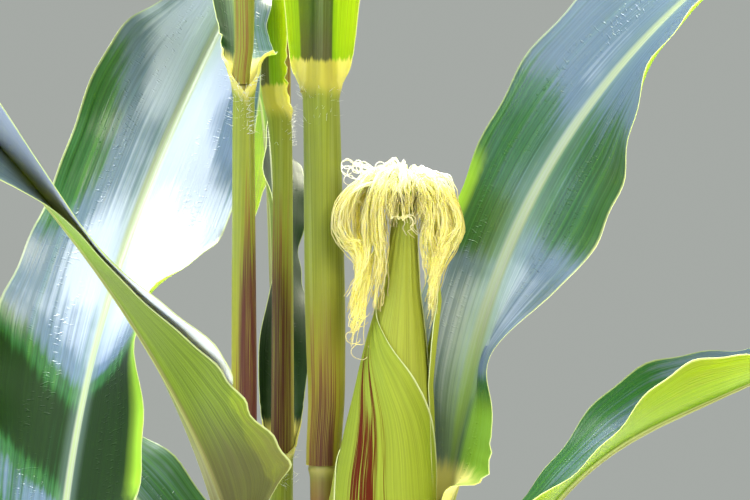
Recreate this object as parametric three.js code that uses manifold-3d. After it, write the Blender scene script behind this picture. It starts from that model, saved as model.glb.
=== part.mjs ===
// A maize plant as a clump of three stems from one root: the tall main stalk with its ear, silk and
// tassel, a slender left shoot and a rear shoot. Every leaf is one solid, a sheath rolled round its
// stem that opens at the collar into the blade. Millimetres, +Z up, ground level at z = 0, and the
// origin at the middle of the flat cut under the main stalk.
import * as THREE from "three";
import Module from "manifold-3d";

const wasm = await Module();
wasm.setup();

const { degToRad, clamp, lerp, smoothstep } = THREE.MathUtils;
const v3 = (x, y, z) => new THREE.Vector3(x, y, z);

// Driving dimensions.
const CLEAR = 0.35; // between pieces that touch
const LEAF_EDGE = 1.5; // blade thickness at the margins
const LEAF_BODY = 2.1; // blade thickness between margin and midrib
const KEEL_SHARE = 0.0095; // midrib thickness as a share of the blade's length
const SHEATH_WALL = 1.3;
const SHEATH_WRAP = degToRad(168); // half the angle that a sheath reaches round its stem
const SHEATH_LIFT = 2.5; // sheath foot above its node
const SHEATH_OPENS = 0.86; // share of the sheath where it starts to open towards the collar
const COLLAR_WRAP = degToRad(96); // half the angle that is left at the collar
const COLLAR_FLARE = 1.8; // extra radius of the collar
const COLLAR_DROP = 12; // collar below the next node
const OPENING = 20; // length over which the collar opens into the blade
const ACROSS = 6; // faces across a leaf
const LONG_LEAF = 600; // a leaf longer than this has more stations
const SHORT_STATIONS = 10;
const LONG_STATIONS = 13;
const WAVY_STATIONS = 22; // of the leaves whose ripples have their own values
const CROWD = 1.8; // how closely stations crowd towards the collar
const WAVY_CROWD = 1.3;
const WAVES = 4.5; // ripples of a margin along a blade
const RIPPLE = 0.16; // height of a ripple as a share of the half width
const PHASE_STEP = 1.7; // between the ripples of one leaf and the next, in radians
const PHASE_LAG = 1.3; // between the two margins of a leaf
const CULM_TAPER = 1.25;
const NODE_SWELL = 0.9;

// Stems. foot is where a stem leaves the ground, shift how far it bows outward on its way up and
// lean its slope. Nodes are the heights of the joints that carry leaves.
const STEMS = {
  main: {
    foot: [0, 0],
    shift: [0, 0],
    lean: [-0.0175, 0],
    footRadius: 12.4,
    topRadius: 2.8,
    top: 1950,
    bareNodes: [16, 46, 92],
    sides: 10,
  },
  left_shoot: {
    foot: [-29, -15],
    shift: [-27, -15],
    lean: [-0.003, 0],
    footRadius: 8.4,
    topRadius: 2,
    top: 1350,
    bareNodes: [40, 105, 215],
    sides: 8,
  },
  rear_shoot: {
    foot: [-12, 33],
    shift: [-31, 87],
    lean: [0, 0],
    footRadius: 10.4,
    topRadius: 2.2,
    top: 1450,
    bareNodes: [40, 110, 215],
    sides: 8,
  },
};
const BOW_HEIGHT = 110; // height over which a shoot bows outward from the main stalk
const ROOT_FLARE = 3.2; // extra foot radius of the main stalk

// Leaves from the lowest up. Angles are in degrees, azimuth anticlockwise from +X seen from above.
// rise is the blade's angle above the horizon where it leaves the collar and droop how far it turns
// down, between the shares of its length in arch. swing turns it sideways along its length, roll
// tips it round its midrib by the share settle, and twist turns it on between the shares in
// twisted. heading is the azimuth that a blade takes by the share settle if its collar faces
// another way.
// gutter is half the angle of its hollow, fold how far each half is turned up at the midrib, first
// and then between the shares in unfold. bulge is how far a sheath is pushed out by the ear inside
// it, wide its radius there and baseHalf its half width there. ripple is the height of the margin's
// ripples as a share of the half width, waves their number and phases where they start on the left
// and on the right, in radians.
const LEAVES = {
  main: [
    { node: 155, azimuth: -30, length: 420, half: 26, rise: 48, droop: 90 },
    { node: 245, azimuth: 152, length: 560, half: 31, rise: 56, droop: 100 },
    {
      node: 365,
      azimuth: 47,
      length: 835,
      half: 40.5,
      rise: 69.5,
      droop: 54.8,
      arch: [0.266, 0.617],
      swing: -14.1,
      roll: -36.6,
      twist: 55,
      twisted: [0.264, 0.895],
      gutter: 28.3,
      fold: [12, 42.3],
      unfold: [0.405, 0.718],
      ripple: 0.279,
      waves: 4,
      phases: [5, 4.96],
    },
    { node: 515, azimuth: 155, length: 780, half: 40, rise: 64, droop: 118 },
    {
      node: 690,
      collar: 873,
      azimuth: -12,
      bulge: 60,
      wide: 36,
      turn: 32,
      baseHalf: 33.8,
      heading: -2,
      settle: 0.08,
      length: 795,
      half: 49,
      rise: 83.6,
      droop: 61.5,
      arch: [-0.05, 0.584],
      swing: -86.6,
      roll: 73.4,
      twist: -41.2,
      twisted: [0.17, 0.52],
      gutter: 12.6,
      fold: [0, 1],
      ripple: 0.229,
      waves: 3.09,
      phases: [1.6, 1.26],
    },
    {
      node: 879,
      azimuth: 275,
      length: 790,
      half: 42,
      rise: 81,
      droop: 108,
      arch: [0.13, 0.75],
      gutter: 18,
    },
    { node: 1104, azimuth: 75, length: 760, half: 40, rise: 66, droop: 112 },
    { node: 1300, azimuth: 280, length: 660, half: 36, rise: 68, droop: 104 },
    { node: 1485, azimuth: 60, length: 540, half: 31, rise: 70, droop: 90 },
    { node: 1650, azimuth: 225, length: 420, half: 25, rise: 72, droop: 74 },
    { node: 1790, azimuth: 30, length: 300, half: 19, rise: 74, droop: 54, collar: 1895 },
  ],
  left_shoot: [
    { node: 340, azimuth: 225, length: 440, half: 27, rise: 58, droop: 108 },
    { node: 490, azimuth: 140, length: 540, half: 29, rise: 66, droop: 120 },
    {
      node: 650,
      collar: 810,
      azimuth: 268,
      length: 513,
      half: 42.8,
      rise: 50.3,
      droop: 11,
      arch: [0.05, 1.23],
      swing: -87,
      roll: -55,
      twist: -57,
      twisted: [0.01, 0.51],
      gutter: 23,
      fold: [81, 22],
      unfold: [0.62, 1.04],
    },
    {
      node: 865,
      azimuth: 106,
      length: 560,
      half: 38,
      rise: 50,
      droop: 66,
      arch: [0, 0.8],
      heading: 93,
      settle: 0.04,
      swing: 45,
      roll: 31.6,
      gutter: 8,
      fold: [2.7, 0],
      unfold: [0, 0.35],
    },
    { node: 1106, azimuth: 225, length: 420, half: 25, rise: 70, droop: 90 },
    { node: 1220, azimuth: 128, length: 300, half: 18, rise: 60, droop: 60, collar: 1300 },
  ],
  rear_shoot: [
    { node: 350, azimuth: 50, length: 520, half: 29, rise: 56, droop: 105 },
    { node: 500, azimuth: 175, length: 620, half: 33, rise: 66, droop: 122 },
    { node: 690, azimuth: 96, length: 640, half: 35, rise: 66, droop: 112, roll: 68 },
    {
      node: 895,
      collar: 1088,
      azimuth: 209.5,
      length: 743,
      half: 55.6,
      rise: 84.4,
      droop: 141.9,
      arch: [0.069, 0.121],
      swing: 100,
      roll: -36.6,
      twist: 56,
      twisted: [0.28, 0.472],
      gutter: 25,
      fold: [13.3, 4.9],
      ripple: 0.256,
      waves: 4.07,
      phases: [3.34, 3.11],
    },
    { node: 1105, azimuth: 62, length: 540, half: 30, rise: 68, droop: 100 },
    { node: 1290, azimuth: 200, length: 340, half: 20, rise: 72, droop: 64, collar: 1385 },
  ],
};
const USUAL = {
  arch: [0.02, 1],
  swing: 0,
  roll: 0,
  twist: 0,
  twisted: [0, 1],
  gutter: 22,
  fold: [10, 5],
  unfold: [0.05, 0.5],
  bulge: 0,
  turn: 0,
  settle: 0.2,
  ripple: RIPPLE,
  waves: WAVES,
};

// The ear: its axis in the main stem's frame as [x, y, z], and its radius at shares of its length.
const EAR_AXIS = [
  v3(15, -9, 738),
  v3(15.6, -18, 800),
  v3(17.4, -22.5, 864),
  v3(22.6, -23.5, 919),
  v3(26.6, -23, 970),
  v3(29.5, -22, 1024),
];
const EAR_RADII = [8, 13, 20, 25.5, 28.6, 28.8, 26.6, 23.6, 20, 15.8, 10.8, 8.2, 6.2];
const EAR_SIDES = 16;
const SHANK_FOOT = [v3(-2.4, -2.2, 714), v3(6, -5, 725)];
const SHANK_RADIUS = 5.5;

// Silk: a crown over the ear's tip with a hank on each side of it.
const SILK_CROWN = { centre: v3(25, -24, 1029), size: v3(34, 25, 22) };
const SILK_LOBES = [
  { centre: v3(-1, -27, 1011), size: v3(11, 10, 23) },
  { centre: v3(50, -24, 1011), size: v3(13, 12, 26) },
];
const SILK_HANKS = [
  { path: [v3(-2, -28, 1004), v3(6, -32, 972), v3(3, -34, 948)], radii: [9, 8, 3] },
  { path: [v3(49, -25, 1004), v3(42, -30, 976), v3(36, -35, 958)], radii: [11, 7, 3] },
];

// Tassels: a spike with branches that leave it in turn and bow over.
const TASSELS = {
  main: { spike: 330, branches: 13, reach: 215, first: 12, last: 120, radius: 4.2 },
  left_shoot: { spike: 190, branches: 6, reach: 100, first: 10, last: 60, radius: 3.4 },
  rear_shoot: { spike: 210, branches: 6, reach: 120, first: 10, last: 60, radius: 3.4 },
};
const TURN = degToRad(137.5); // from one tassel branch to the next

// Brace roots leave the main stalk at its second joint and reach the ground around it.
const BRACE = { from: 46, count: 9, reach: 46, radius: 3.4, start: 10, skip: [2, 3, 5] };

const materials = {
  stalk: new THREE.MeshStandardMaterial({ color: 0x8f9a4a, roughness: 0.55 }),
  leaf: new THREE.MeshStandardMaterial({ color: 0x3d6b3a, roughness: 0.45 }),
  husk: new THREE.MeshStandardMaterial({ color: 0xa9b44a, roughness: 0.5 }),
  silk: new THREE.MeshStandardMaterial({ color: 0xe6e07a, roughness: 0.6 }),
  tassel: new THREE.MeshStandardMaterial({ color: 0xb5a45c, roughness: 0.7 }),
};

// A closed solid through rings of as many points each, its quads split along their shorter
// diagonals. A ring is read as a strip, point by point up one side and back down the other, so its
// ends are closed even where it is a thin curved one.
function loft(rings) {
  const n = rings[0].length;
  const points = rings.flat();
  const positions = points.flatMap((p) => [p.x, p.y, p.z]);
  const faces = [];
  const quad = (a, b, c, d) => {
    const split = points[a].distanceTo(points[c]) <= points[b].distanceTo(points[d]);
    faces.push(...(split ? [a, b, c, a, c, d] : [a, b, d, b, c, d]));
  };
  for (let i = 0; i + 1 < rings.length; i++) {
    for (let j = 0; j < n; j++) {
      const k = (j + 1) % n;
      quad(i * n + j, i * n + k, (i + 1) * n + k, (i + 1) * n + j);
    }
  }
  const last = (rings.length - 1) * n;
  for (let j = 0; j + 1 < n / 2; j++) {
    quad(j, n - 1 - j, n - 2 - j, j + 1);
    quad(last + j, last + j + 1, last + n - 2 - j, last + n - 1 - j);
  }
  const geometry = new THREE.BufferGeometry();
  geometry.setAttribute("position", new THREE.Float32BufferAttribute(positions, 3));
  if (signedVolume(positions, faces) < 0) faces.reverse();
  geometry.setIndex(faces);
  return geometry;
}

function signedVolume(positions, faces) {
  const at = (i) => v3(positions[3 * i], positions[3 * i + 1], positions[3 * i + 2]);
  let sum = 0;
  for (let i = 0; i < faces.length; i += 3) {
    sum += at(faces[i]).dot(at(faces[i + 1]).cross(at(faces[i + 2])));
  }
  return sum;
}

// A round ring about a centre in the plane of two unit vectors.
function ring(centre, radius, sides, a = v3(1, 0, 0), b = v3(0, 1, 0)) {
  return Array.from({ length: sides }, (_, j) => {
    const angle = ((j + 0.5) * 2 * Math.PI) / sides;
    return centre
      .clone()
      .addScaledVector(a, radius * Math.cos(angle))
      .addScaledVector(b, radius * Math.sin(angle));
  });
}

// A tube along a smooth curve through points, its radius read from a list along its length.
function tube(points, radii, sides, steps) {
  const curve = new THREE.CatmullRomCurve3(points);
  const rings = [];
  for (let i = 0; i <= steps; i++) {
    const u = i / steps;
    const along = curve.getTangentAt(u);
    const side = v3(0, 0, 1).cross(along);
    if (side.length() < 0.05) side.set(1, 0, 0).cross(along);
    side.normalize();
    rings.push(ring(curve.getPointAt(u), listAt(radii, u), sides, side, along.clone().cross(side)));
  }
  return loft(rings);
}

function listAt(list, u) {
  const at = clamp(u, 0, 1) * (list.length - 1);
  const i = Math.min(Math.floor(at), list.length - 2);
  return lerp(list[i], list[i + 1], at - i);
}

function solidOf(geometry) {
  const mesh = new wasm.Mesh({
    numProp: 3,
    vertProperties: new Float32Array(geometry.attributes.position.array),
    triVerts: new Uint32Array(geometry.index.array),
  });
  mesh.merge();
  return new wasm.Manifold(mesh);
}

function geometryOf(solid) {
  const mesh = solid.getMesh();
  const geometry = new THREE.BufferGeometry();
  geometry.setAttribute("position", new THREE.BufferAttribute(mesh.vertProperties, 3));
  geometry.setIndex(new THREE.BufferAttribute(mesh.triVerts, 1));
  return geometry;
}

// Stems.
function axisAt(stem, z) {
  const bow = 1 - Math.exp(-z / BOW_HEIGHT);
  return v3(stem.shift[0] * bow + stem.lean[0] * z, stem.shift[1] * bow + stem.lean[1] * z, z);
}

function culmRadius(stem, z) {
  const left = clamp(1 - z / stem.top, 0, 1);
  return stem.topRadius + (stem.footRadius - stem.topRadius) * left ** CULM_TAPER;
}

// The sheath's middle radius, so that its flat faces stay clear of the culm inside.
function sheathRadius(stem, z) {
  const step = SHEATH_WRAP / ACROSS;
  return (culmRadius(stem, z) + CLEAR) / Math.cos(step) + SHEATH_WALL / 2;
}

function stalkGeometry(stem, leaves, grow = 0) {
  const joints = [...stem.bareNodes, ...leaves.map((leaf) => leaf.node)];
  const levels = [[0, stem === STEMS.main ? ROOT_FLARE : NODE_SWELL]];
  joints.forEach((z) => levels.push([z - 5, 0], [z, NODE_SWELL], [z + 2, 0]));
  levels.push([stem.top, 0]);
  return loft(
    levels.map(([z, swell]) => ring(axisAt(stem, z), culmRadius(stem, z) + swell + grow, stem.sides)),
  );
}

// Leaves. A leaf is worked out as stations from its sheath's foot to its tip. Each has its midrib
// point, its directions along, across and towards the upper face, its half width, the half angle of
// its rolled section and the fold at its midrib.
function collarHeight(stem, leaves, index) {
  const leaf = leaves[index];
  return leaf.collar ?? leaves[index + 1].node - COLLAR_DROP;
}

function sheathStation(stem, leaf, share, collar) {
  const z = lerp(leaf.node + SHEATH_LIFT, collar, share);
  const open = clamp((share - SHEATH_OPENS) / (1 - SHEATH_OPENS), 0, 1);
  const snug = sheathRadius(stem, z) + COLLAR_FLARE * open;
  const out = snug + leaf.bulge * Math.sin((Math.PI / 2) * share ** 0.7);
  const way = degToRad(leaf.azimuth);
  const face = way + degToRad(leaf.turn) * share;
  const radius = leaf.wide ? lerp(snug, leaf.wide, Math.sqrt(share)) : snug;
  const wrapped = lerp(SHEATH_WRAP, COLLAR_WRAP, open) * snug;
  const half = leaf.wide ? lerp(wrapped, leaf.baseHalf, share) : wrapped;
  return {
    point: axisAt(stem, z).add(v3(Math.cos(way), Math.sin(way), 0).multiplyScalar(out)),
    along: v3(0, 0, 1),
    across: v3(-Math.sin(face), Math.cos(face), 0),
    up: v3(-Math.cos(face), -Math.sin(face), 0),
    half,
    roll: Math.min(half / radius, SHEATH_WRAP),
    fold: 0,
    share: 0,
  };
}

function bladeWidth(leaf, start, s) {
  const swelled = lerp(start, leaf.half, smoothstep(s, 0, 0.26));
  return Math.max(swelled * (1 - s ** 3.1) ** 0.95, 1.2);
}

function bladeStations(leaf, first, count) {
  const fine = 240;
  const step = leaf.length / fine;
  const way = Math.atan2(-first.up.y, -first.up.x);
  const heading = leaf.heading === undefined ? way : degToRad(leaf.heading);
  const point = first.point.clone();
  const crowd = leaf.phases ? WAVY_CROWD : CROWD;
  const shares = Array.from({ length: count }, (_, i) => ((i + 1) / count) ** crowd);
  if (leaf.twisted !== USUAL.twisted) shares.push(...leaf.twisted, lerp(...leaf.twisted, 0.5));
  const wanted = shares.map((share) => Math.round(fine * share));
  const stations = [];
  for (let i = 1; i <= fine; i++) {
    const s = i / fine;
    const tilt = degToRad(leaf.rise - leaf.droop * smoothstep(s, ...leaf.arch));
    const settled = smoothstep(s, 0, leaf.settle);
    const turn = lerp(way, heading, settled) + degToRad(leaf.swing) * s;
    const along = v3(
      Math.cos(tilt) * Math.cos(turn),
      Math.cos(tilt) * Math.sin(turn),
      Math.sin(tilt),
    );
    point.addScaledVector(along, step);
    if (!wanted.includes(i)) continue;
    const rolled = leaf.roll * settled;
    const twisted = leaf.twist * smoothstep(s, ...leaf.twisted);
    const tip = degToRad(rolled + twisted);
    const across = v3(-Math.sin(turn), Math.cos(turn), 0).applyAxisAngle(along, tip);
    const opened = Math.exp((-s * leaf.length) / OPENING);
    const folded = lerp(...leaf.fold, smoothstep(s, ...leaf.unfold)) * (1 - Math.sqrt(opened));
    stations.push({
      point: point.clone(),
      along,
      across,
      up: along.clone().cross(across),
      half: bladeWidth(leaf, first.half, s),
      roll: lerp(degToRad(leaf.gutter), first.roll, opened),
      fold: degToRad(folded),
      share: s,
    });
  }
  return stations;
}

// A point of the section: round an arc, then turned up about the midrib by the fold.
function foldedPoint(radius, angle, fold) {
  const out = radius * Math.sin(Math.abs(angle));
  const up = radius * (1 - Math.cos(angle));
  const x = out * Math.cos(fold) - up * Math.sin(fold);
  return [Math.sign(angle) * x, out * Math.sin(fold) + up * Math.cos(fold)];
}

// The closed outline of a leaf's section: the upper face from one margin to the other, then back
// along the lower face.
function leafRing(leaf, station, index) {
  const upper = [];
  const lower = [];
  const radius = station.half / station.roll;
  const keel = leaf.length * KEEL_SHARE * (1 - station.share) ** 0.8;
  const phases = leaf.phases ?? [index * PHASE_STEP, index * PHASE_STEP + PHASE_LAG];
  for (let j = 0; j <= ACROSS; j++) {
    const t = (2 * j) / ACROSS - 1;
    const angle = t * station.roll;
    const phase = phases[t > 0 ? 0 : 1];
    const ripple =
      leaf.ripple *
      station.half *
      t ** 2 *
      Math.sin(2 * Math.PI * leaf.waves * station.share + phase) *
      smoothstep(station.share, 0.05, 0.2);
    const sheath = station.share === 0;
    const turned = angle + Math.sign(t) * station.fold;
    const inward = station.up
      .clone()
      .multiplyScalar(Math.cos(turned))
      .addScaledVector(station.across, -Math.sin(turned));
    const [x, y] = foldedPoint(radius, angle, station.fold);
    const middle = station.point
      .clone()
      .addScaledVector(station.across, x)
      .addScaledVector(station.up, y + ripple);
    const body = lerp(LEAF_BODY, LEAF_EDGE, Math.abs(t)) * lerp(1, 0.6, station.share);
    const wall = sheath ? SHEATH_WALL : body;
    const below = sheath || j !== ACROSS / 2 ? wall / 2 : Math.max(keel - wall / 2, wall / 2);
    upper.push(middle.clone().addScaledVector(inward, wall / 2));
    lower.push(middle.clone().addScaledVector(inward, -below));
  }
  return [...upper, ...lower.reverse()];
}

function leafGeometry(stem, leaves, index) {
  const leaf = leaves[index];
  const collar = collarHeight(stem, leaves, index);
  const opening = [SHEATH_OPENS, (SHEATH_OPENS + 1) / 2, 1];
  const shares = leaf.bulge ? [0, 0.03, 0.12, 0.3, 0.6, 1] : [0, ...opening];
  const sheath = shares.map((share) => sheathStation(stem, leaf, share, collar));
  const stations = leaf.length > LONG_LEAF ? LONG_STATIONS : SHORT_STATIONS;
  const blade = bladeStations(leaf, sheath.at(-1), leaf.phases ? WAVY_STATIONS : stations);
  return loft([...sheath, ...blade].map((station) => leafRing(leaf, station, index)));
}

// The ear in its husks, on its short shank.
function earGeometry(grow = 0) {
  const axis = new THREE.CatmullRomCurve3(EAR_AXIS);
  const steps = EAR_RADII.length - 1;
  const rings = EAR_RADII.map((radius, i) =>
    ring(axis.getPointAt(i / steps), radius + grow, EAR_SIDES),
  );
  const path = [...SHANK_FOOT, EAR_AXIS[0].clone().add(v3(0, 0, 6))];
  const shank = tube(path, [SHANK_RADIUS, SHANK_RADIUS], 8, 4);
  const culm = solidOf(stalkGeometry(STEMS.main, LEAVES.main, CLEAR));
  return solidOf(loft(rings)).add(solidOf(shank)).subtract(culm);
}

function silkGeometry() {
  const lump = ({ centre, size }) => solidOf(loft(ellipsoidRings(centre, size)));
  const hank = ({ path, radii }) => solidOf(tube(path, radii, 8, 5));
  const parts = [lump(SILK_CROWN), ...SILK_LOBES.map(lump), ...SILK_HANKS.map(hank)];
  const whole = parts.reduce((sum, part) => sum.add(part));
  return geometryOf(whole.subtract(earGeometry(CLEAR)));
}

function ellipsoidRings(centre, size) {
  return Array.from({ length: 9 }, (_, i) => {
    const rise = lerp(-1, 1, i / 8) * degToRad(86);
    return ring(v3(0, 0, 0), Math.cos(rise), 12).map((p) =>
      v3(p.x * size.x, p.y * size.y, Math.sin(rise) * size.z).add(centre),
    );
  });
}

function tasselGeometry(stem, spec) {
  const foot = axisAt(stem, stem.top + CLEAR);
  const tip = foot.clone().add(v3(0, 0, spec.spike));
  const spikeRadii = [stem.topRadius, spec.radius, spec.radius, spec.radius, 1.2];
  let whole = solidOf(tube([foot, tip], spikeRadii, 6, 5));
  for (let k = 0; k < spec.branches; k++) {
    const share = k / (spec.branches - 1);
    const way = TURN * k;
    const reach = spec.reach * lerp(1, 0.72, share);
    const from = foot.clone().add(v3(0, 0, lerp(spec.first, spec.last, share)));
    const out = (a, b) =>
      v3(Math.cos(way) * a, Math.sin(way) * a, b).multiplyScalar(reach).add(from);
    const path = [from, out(0.2, 0.36), out(0.5, 0.62), out(0.86, 0.58)];
    whole = whole.add(solidOf(tube(path, [1.6, spec.radius, spec.radius, 1.4], 5, 5)));
  }
  return geometryOf(whole);
}

function withBraceRoots(stem, geometry) {
  let whole = solidOf(geometry);
  for (let k = 0; k < BRACE.count; k++) {
    if (BRACE.skip.includes(k)) continue;
    const way = (2 * Math.PI * k) / BRACE.count + degToRad(BRACE.start);
    const at = (out, z) => v3(Math.cos(way) * out, Math.sin(way) * out, z);
    const path = [at(6, BRACE.from), at(BRACE.reach * 0.6, BRACE.from * 0.72), at(BRACE.reach, -8)];
    whole = whole.add(solidOf(tube(path, [BRACE.radius, BRACE.radius * 0.9], 6, 4)));
  }
  return geometryOf(whole.trimByPlane([0, 0, 1], 0));
}

function named(name, geometry, material) {
  const mesh = new THREE.Mesh(geometry, material);
  mesh.name = name;
  return mesh;
}

const plant = new THREE.Group();
for (const [key, stem] of Object.entries(STEMS)) {
  const group = new THREE.Group();
  const leaves = LEAVES[key].map((leaf) => ({ ...USUAL, ...leaf }));
  group.position.set(stem.foot[0], stem.foot[1], 0);
  const bare = stalkGeometry(stem, leaves);
  const stalk = stem === STEMS.main ? withBraceRoots(stem, bare) : bare;
  group.add(named(`${key}_stalk`, stalk, materials.stalk));
  leaves.forEach((leaf, index) => {
    const name = `${key}_leaf_${String(index + 1).padStart(2, "0")}`;
    group.add(named(name, leafGeometry(stem, leaves, index), materials.leaf));
  });
  group.add(named(`${key}_tassel`, tasselGeometry(stem, TASSELS[key]), materials.tassel));
  if (stem === STEMS.main) {
    group.add(named("ear", geometryOf(earGeometry()), materials.husk));
    group.add(named("silk", silkGeometry(), materials.silk));
  }
  plant.add(group);
}

export default plant;
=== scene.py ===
"""Dresses the maize plant's solids with fine leaves, stalks, an ear in its husks, silk and tassels.

Lengths are metres and angles degrees. Leaves grow by the same rule as the solids, in finer steps.
"""

import math

import bpy
import numpy as np
from bpy.props import FloatProperty, FloatVectorProperty, IntProperty, PointerProperty
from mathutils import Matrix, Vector


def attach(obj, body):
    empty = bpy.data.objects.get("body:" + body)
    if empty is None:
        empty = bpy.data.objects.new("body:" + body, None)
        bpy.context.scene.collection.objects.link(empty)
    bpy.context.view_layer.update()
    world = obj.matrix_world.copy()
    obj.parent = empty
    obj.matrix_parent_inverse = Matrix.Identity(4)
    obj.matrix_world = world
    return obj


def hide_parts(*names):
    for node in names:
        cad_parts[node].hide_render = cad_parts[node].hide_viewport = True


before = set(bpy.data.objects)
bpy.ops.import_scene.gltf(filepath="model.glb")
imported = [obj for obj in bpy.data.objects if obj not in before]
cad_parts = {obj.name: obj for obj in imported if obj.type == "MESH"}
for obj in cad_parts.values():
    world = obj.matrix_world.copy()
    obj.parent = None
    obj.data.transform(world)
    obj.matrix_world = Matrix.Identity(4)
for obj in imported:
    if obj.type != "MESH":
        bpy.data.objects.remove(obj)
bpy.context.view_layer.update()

bl_info = {
    "name": "Maize Plant",
    "version": (1, 0, 0),
    "blender": (4, 5, 0),
    "location": "3D Viewport > Sidebar > Maize",
    "description": "Grows the fine leaves, stalks, ear, silk and tassels of a maize plant",
    "category": "Object",
}

MM = 0.001
GOLDEN = math.radians(137.5)

# Stems. foot is where a stem leaves the ground, shift how far it bows outward and lean its slope.
STEMS = {
    "main": {
        "foot": (0.0, 0.0),
        "shift": (0.0, 0.0),
        "lean": (-0.0175, 0.0),
        "foot_radius": 0.0124,
        "top_radius": 0.0028,
        "top": 1.95,
        "bare_nodes": (0.016, 0.046, 0.092),
    },
    "left_shoot": {
        "foot": (-0.029, -0.015),
        "shift": (-0.027, -0.015),
        "lean": (-0.003, 0.0),
        "foot_radius": 0.0084,
        "top_radius": 0.002,
        "top": 1.35,
        "bare_nodes": (0.04, 0.105, 0.215),
    },
    "rear_shoot": {
        "foot": (-0.012, 0.033),
        "shift": (-0.031, 0.087),
        "lean": (0.0, 0.0),
        "foot_radius": 0.0104,
        "top_radius": 0.0022,
        "top": 1.45,
        "bare_nodes": (0.04, 0.11, 0.215),
    },
}
BOW_HEIGHT = 0.11
CULM_TAPER = 1.25
NODE_SWELL = 0.0009
NODE_REACH = 0.0026
PALE_REACH = 0.003
ROOT_FLARE = 0.0032
FLARE_REACH = 0.009
SUNNY = (0.86, 0.885)  # heights between which the sun's red on bare stalk fades
CULM_ROWS = 90
CULM_SIDES = 28
FOOT_ROWS = (0, 0.004, 0.008)
JOINT_ROWS = (-0.007, -0.0045, -0.0025, -0.0008, 0, 0.0008, 0.0025, 0.005)
TUBE_SHARP = 60

# Sheaths and collars, with the solids' radii but thinner walls and overlapping margins.
CULM_CLEAR = 0.00035
SOLID_WALL = 0.0013
SOLID_STEP = math.radians(168 / 6)
SHEATH_WRAP = math.radians(192)
WIDE_WRAP = math.radians(168)
SHEATH_LIFT = 0.0025
SHEATH_OPENS = 0.955
SHEATH_WALL = 0.0008
COLLAR_WRAP = math.radians(96)
COLLAR_FLARE = 0.0018
COLLAR_DROP = 0.012
TUCK = 0.006  # how far a sheath's foot is tucked below the collar under it
OVERLAP = 0.0007  # how far one sheath margin lies outside the other
OPENING = 0.011
BEND = 0.014  # length over which the blade leaves the sheath's direction

# Blades.
RIPPLE = 0.16
WAVES = 4.5
FINE_RIPPLE = 0.035
FINE_WAVES = 17
KEEL_SHARE = 0.0085
RIB_SHARE = 0.0042
RIB_LEAST = 0.0004
RIB_COLUMNS = (0.0, 0.45, 0.8, 1.1, 1.7)
SIDE_COLUMNS = 9
SHEATH_ROWS = 34
BLADE_STEPS = 1200  # steps in which a blade's direction is summed
BLADE_ROWS = (46, 110)  # stations of any blade, and more for each metre of it
BLADE_WALL = (0.0009, 0.0005)  # at the midrib and at the margins
BLUNT_TIP = 0.0012
GROOVE = 0.0011
CRINKLE = 0.0016  # the small folds of a blade's foot, and how far they are apart
CRINKLE_STEP = 0.0085
COLLAR_SWELL = 0.0009
SHELL_SHARP = 55
# glaucous wax with painted sheen, on a blade without tables of its own
USUAL_BLOOM_AND_LIGHT = 0.3

# What a leaf has where its own line doesn't say otherwise. Angles are in degrees; a table of pairs
# gives a value at shares of the blade, and a change is given by where it starts and ends.
# - As in the solids' rule: arch (where the blade droops); swing, roll, twist and twisted (how it
#   turns); gutter, fold and unfold (its cross section); heading and settle (how it leaves the
#   sheath); bulge, wide, turn and base_half (a sheath that the ear pushes away); collar (its
#   height); wave (size, count and a phase for each half).
# - Only on the fine leaf: stout and aside (a sheath's extra width and shift); trim_right and
#   trim_left (a half's width); swell (one margin, lifted at the foot); lobes (parts of a margin
#   that are moved: side, place, width, offset).
# - Colours: stain, stained, stain_side and stain_wide (a sheath's streaks); finish and shady (the
#   materials); bloom (a table for each half: glaucous wax with painted sheen,
#   painted reflection and painted shade) and bloom_bend (its slants); lit (where light
#   comes through: side, start, end, inner edge, amount).
USUAL = {
    "arch": (0.02, 1), "swing": 0, "roll": 0, "twist": 0, "twisted": (0, 1),
    "gutter": 22, "fold": (10, 5), "unfold": (0.05, 0.5),
    "heading": None, "settle": 0.2, "bulge": 0, "wide": 0, "turn": 0, "base_half": 0,
    "collar": None, "wave": None, "stout": 0, "aside": 0,
    "trim_right": None, "trim_left": None, "swell": 0, "lobes": (),
    "stain": 0.35, "stained": (0.1, 0.85), "stain_side": 270, "stain_wide": (-0.1, 0.75),
    "finish": "plain", "shady": False, "bloom": None, "bloom_bend": (0, 0, 0), "lit": (),
}


def leaf(node, azimuth, length, half, rise, droop, **more):
    """A leaf's sizes, in the terms of the solids' rule."""
    sizes = {"node": node, "azimuth": azimuth, "length": length, "half": half}
    return {**USUAL, **sizes, "rise": rise, "droop": droop, **more}


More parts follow.
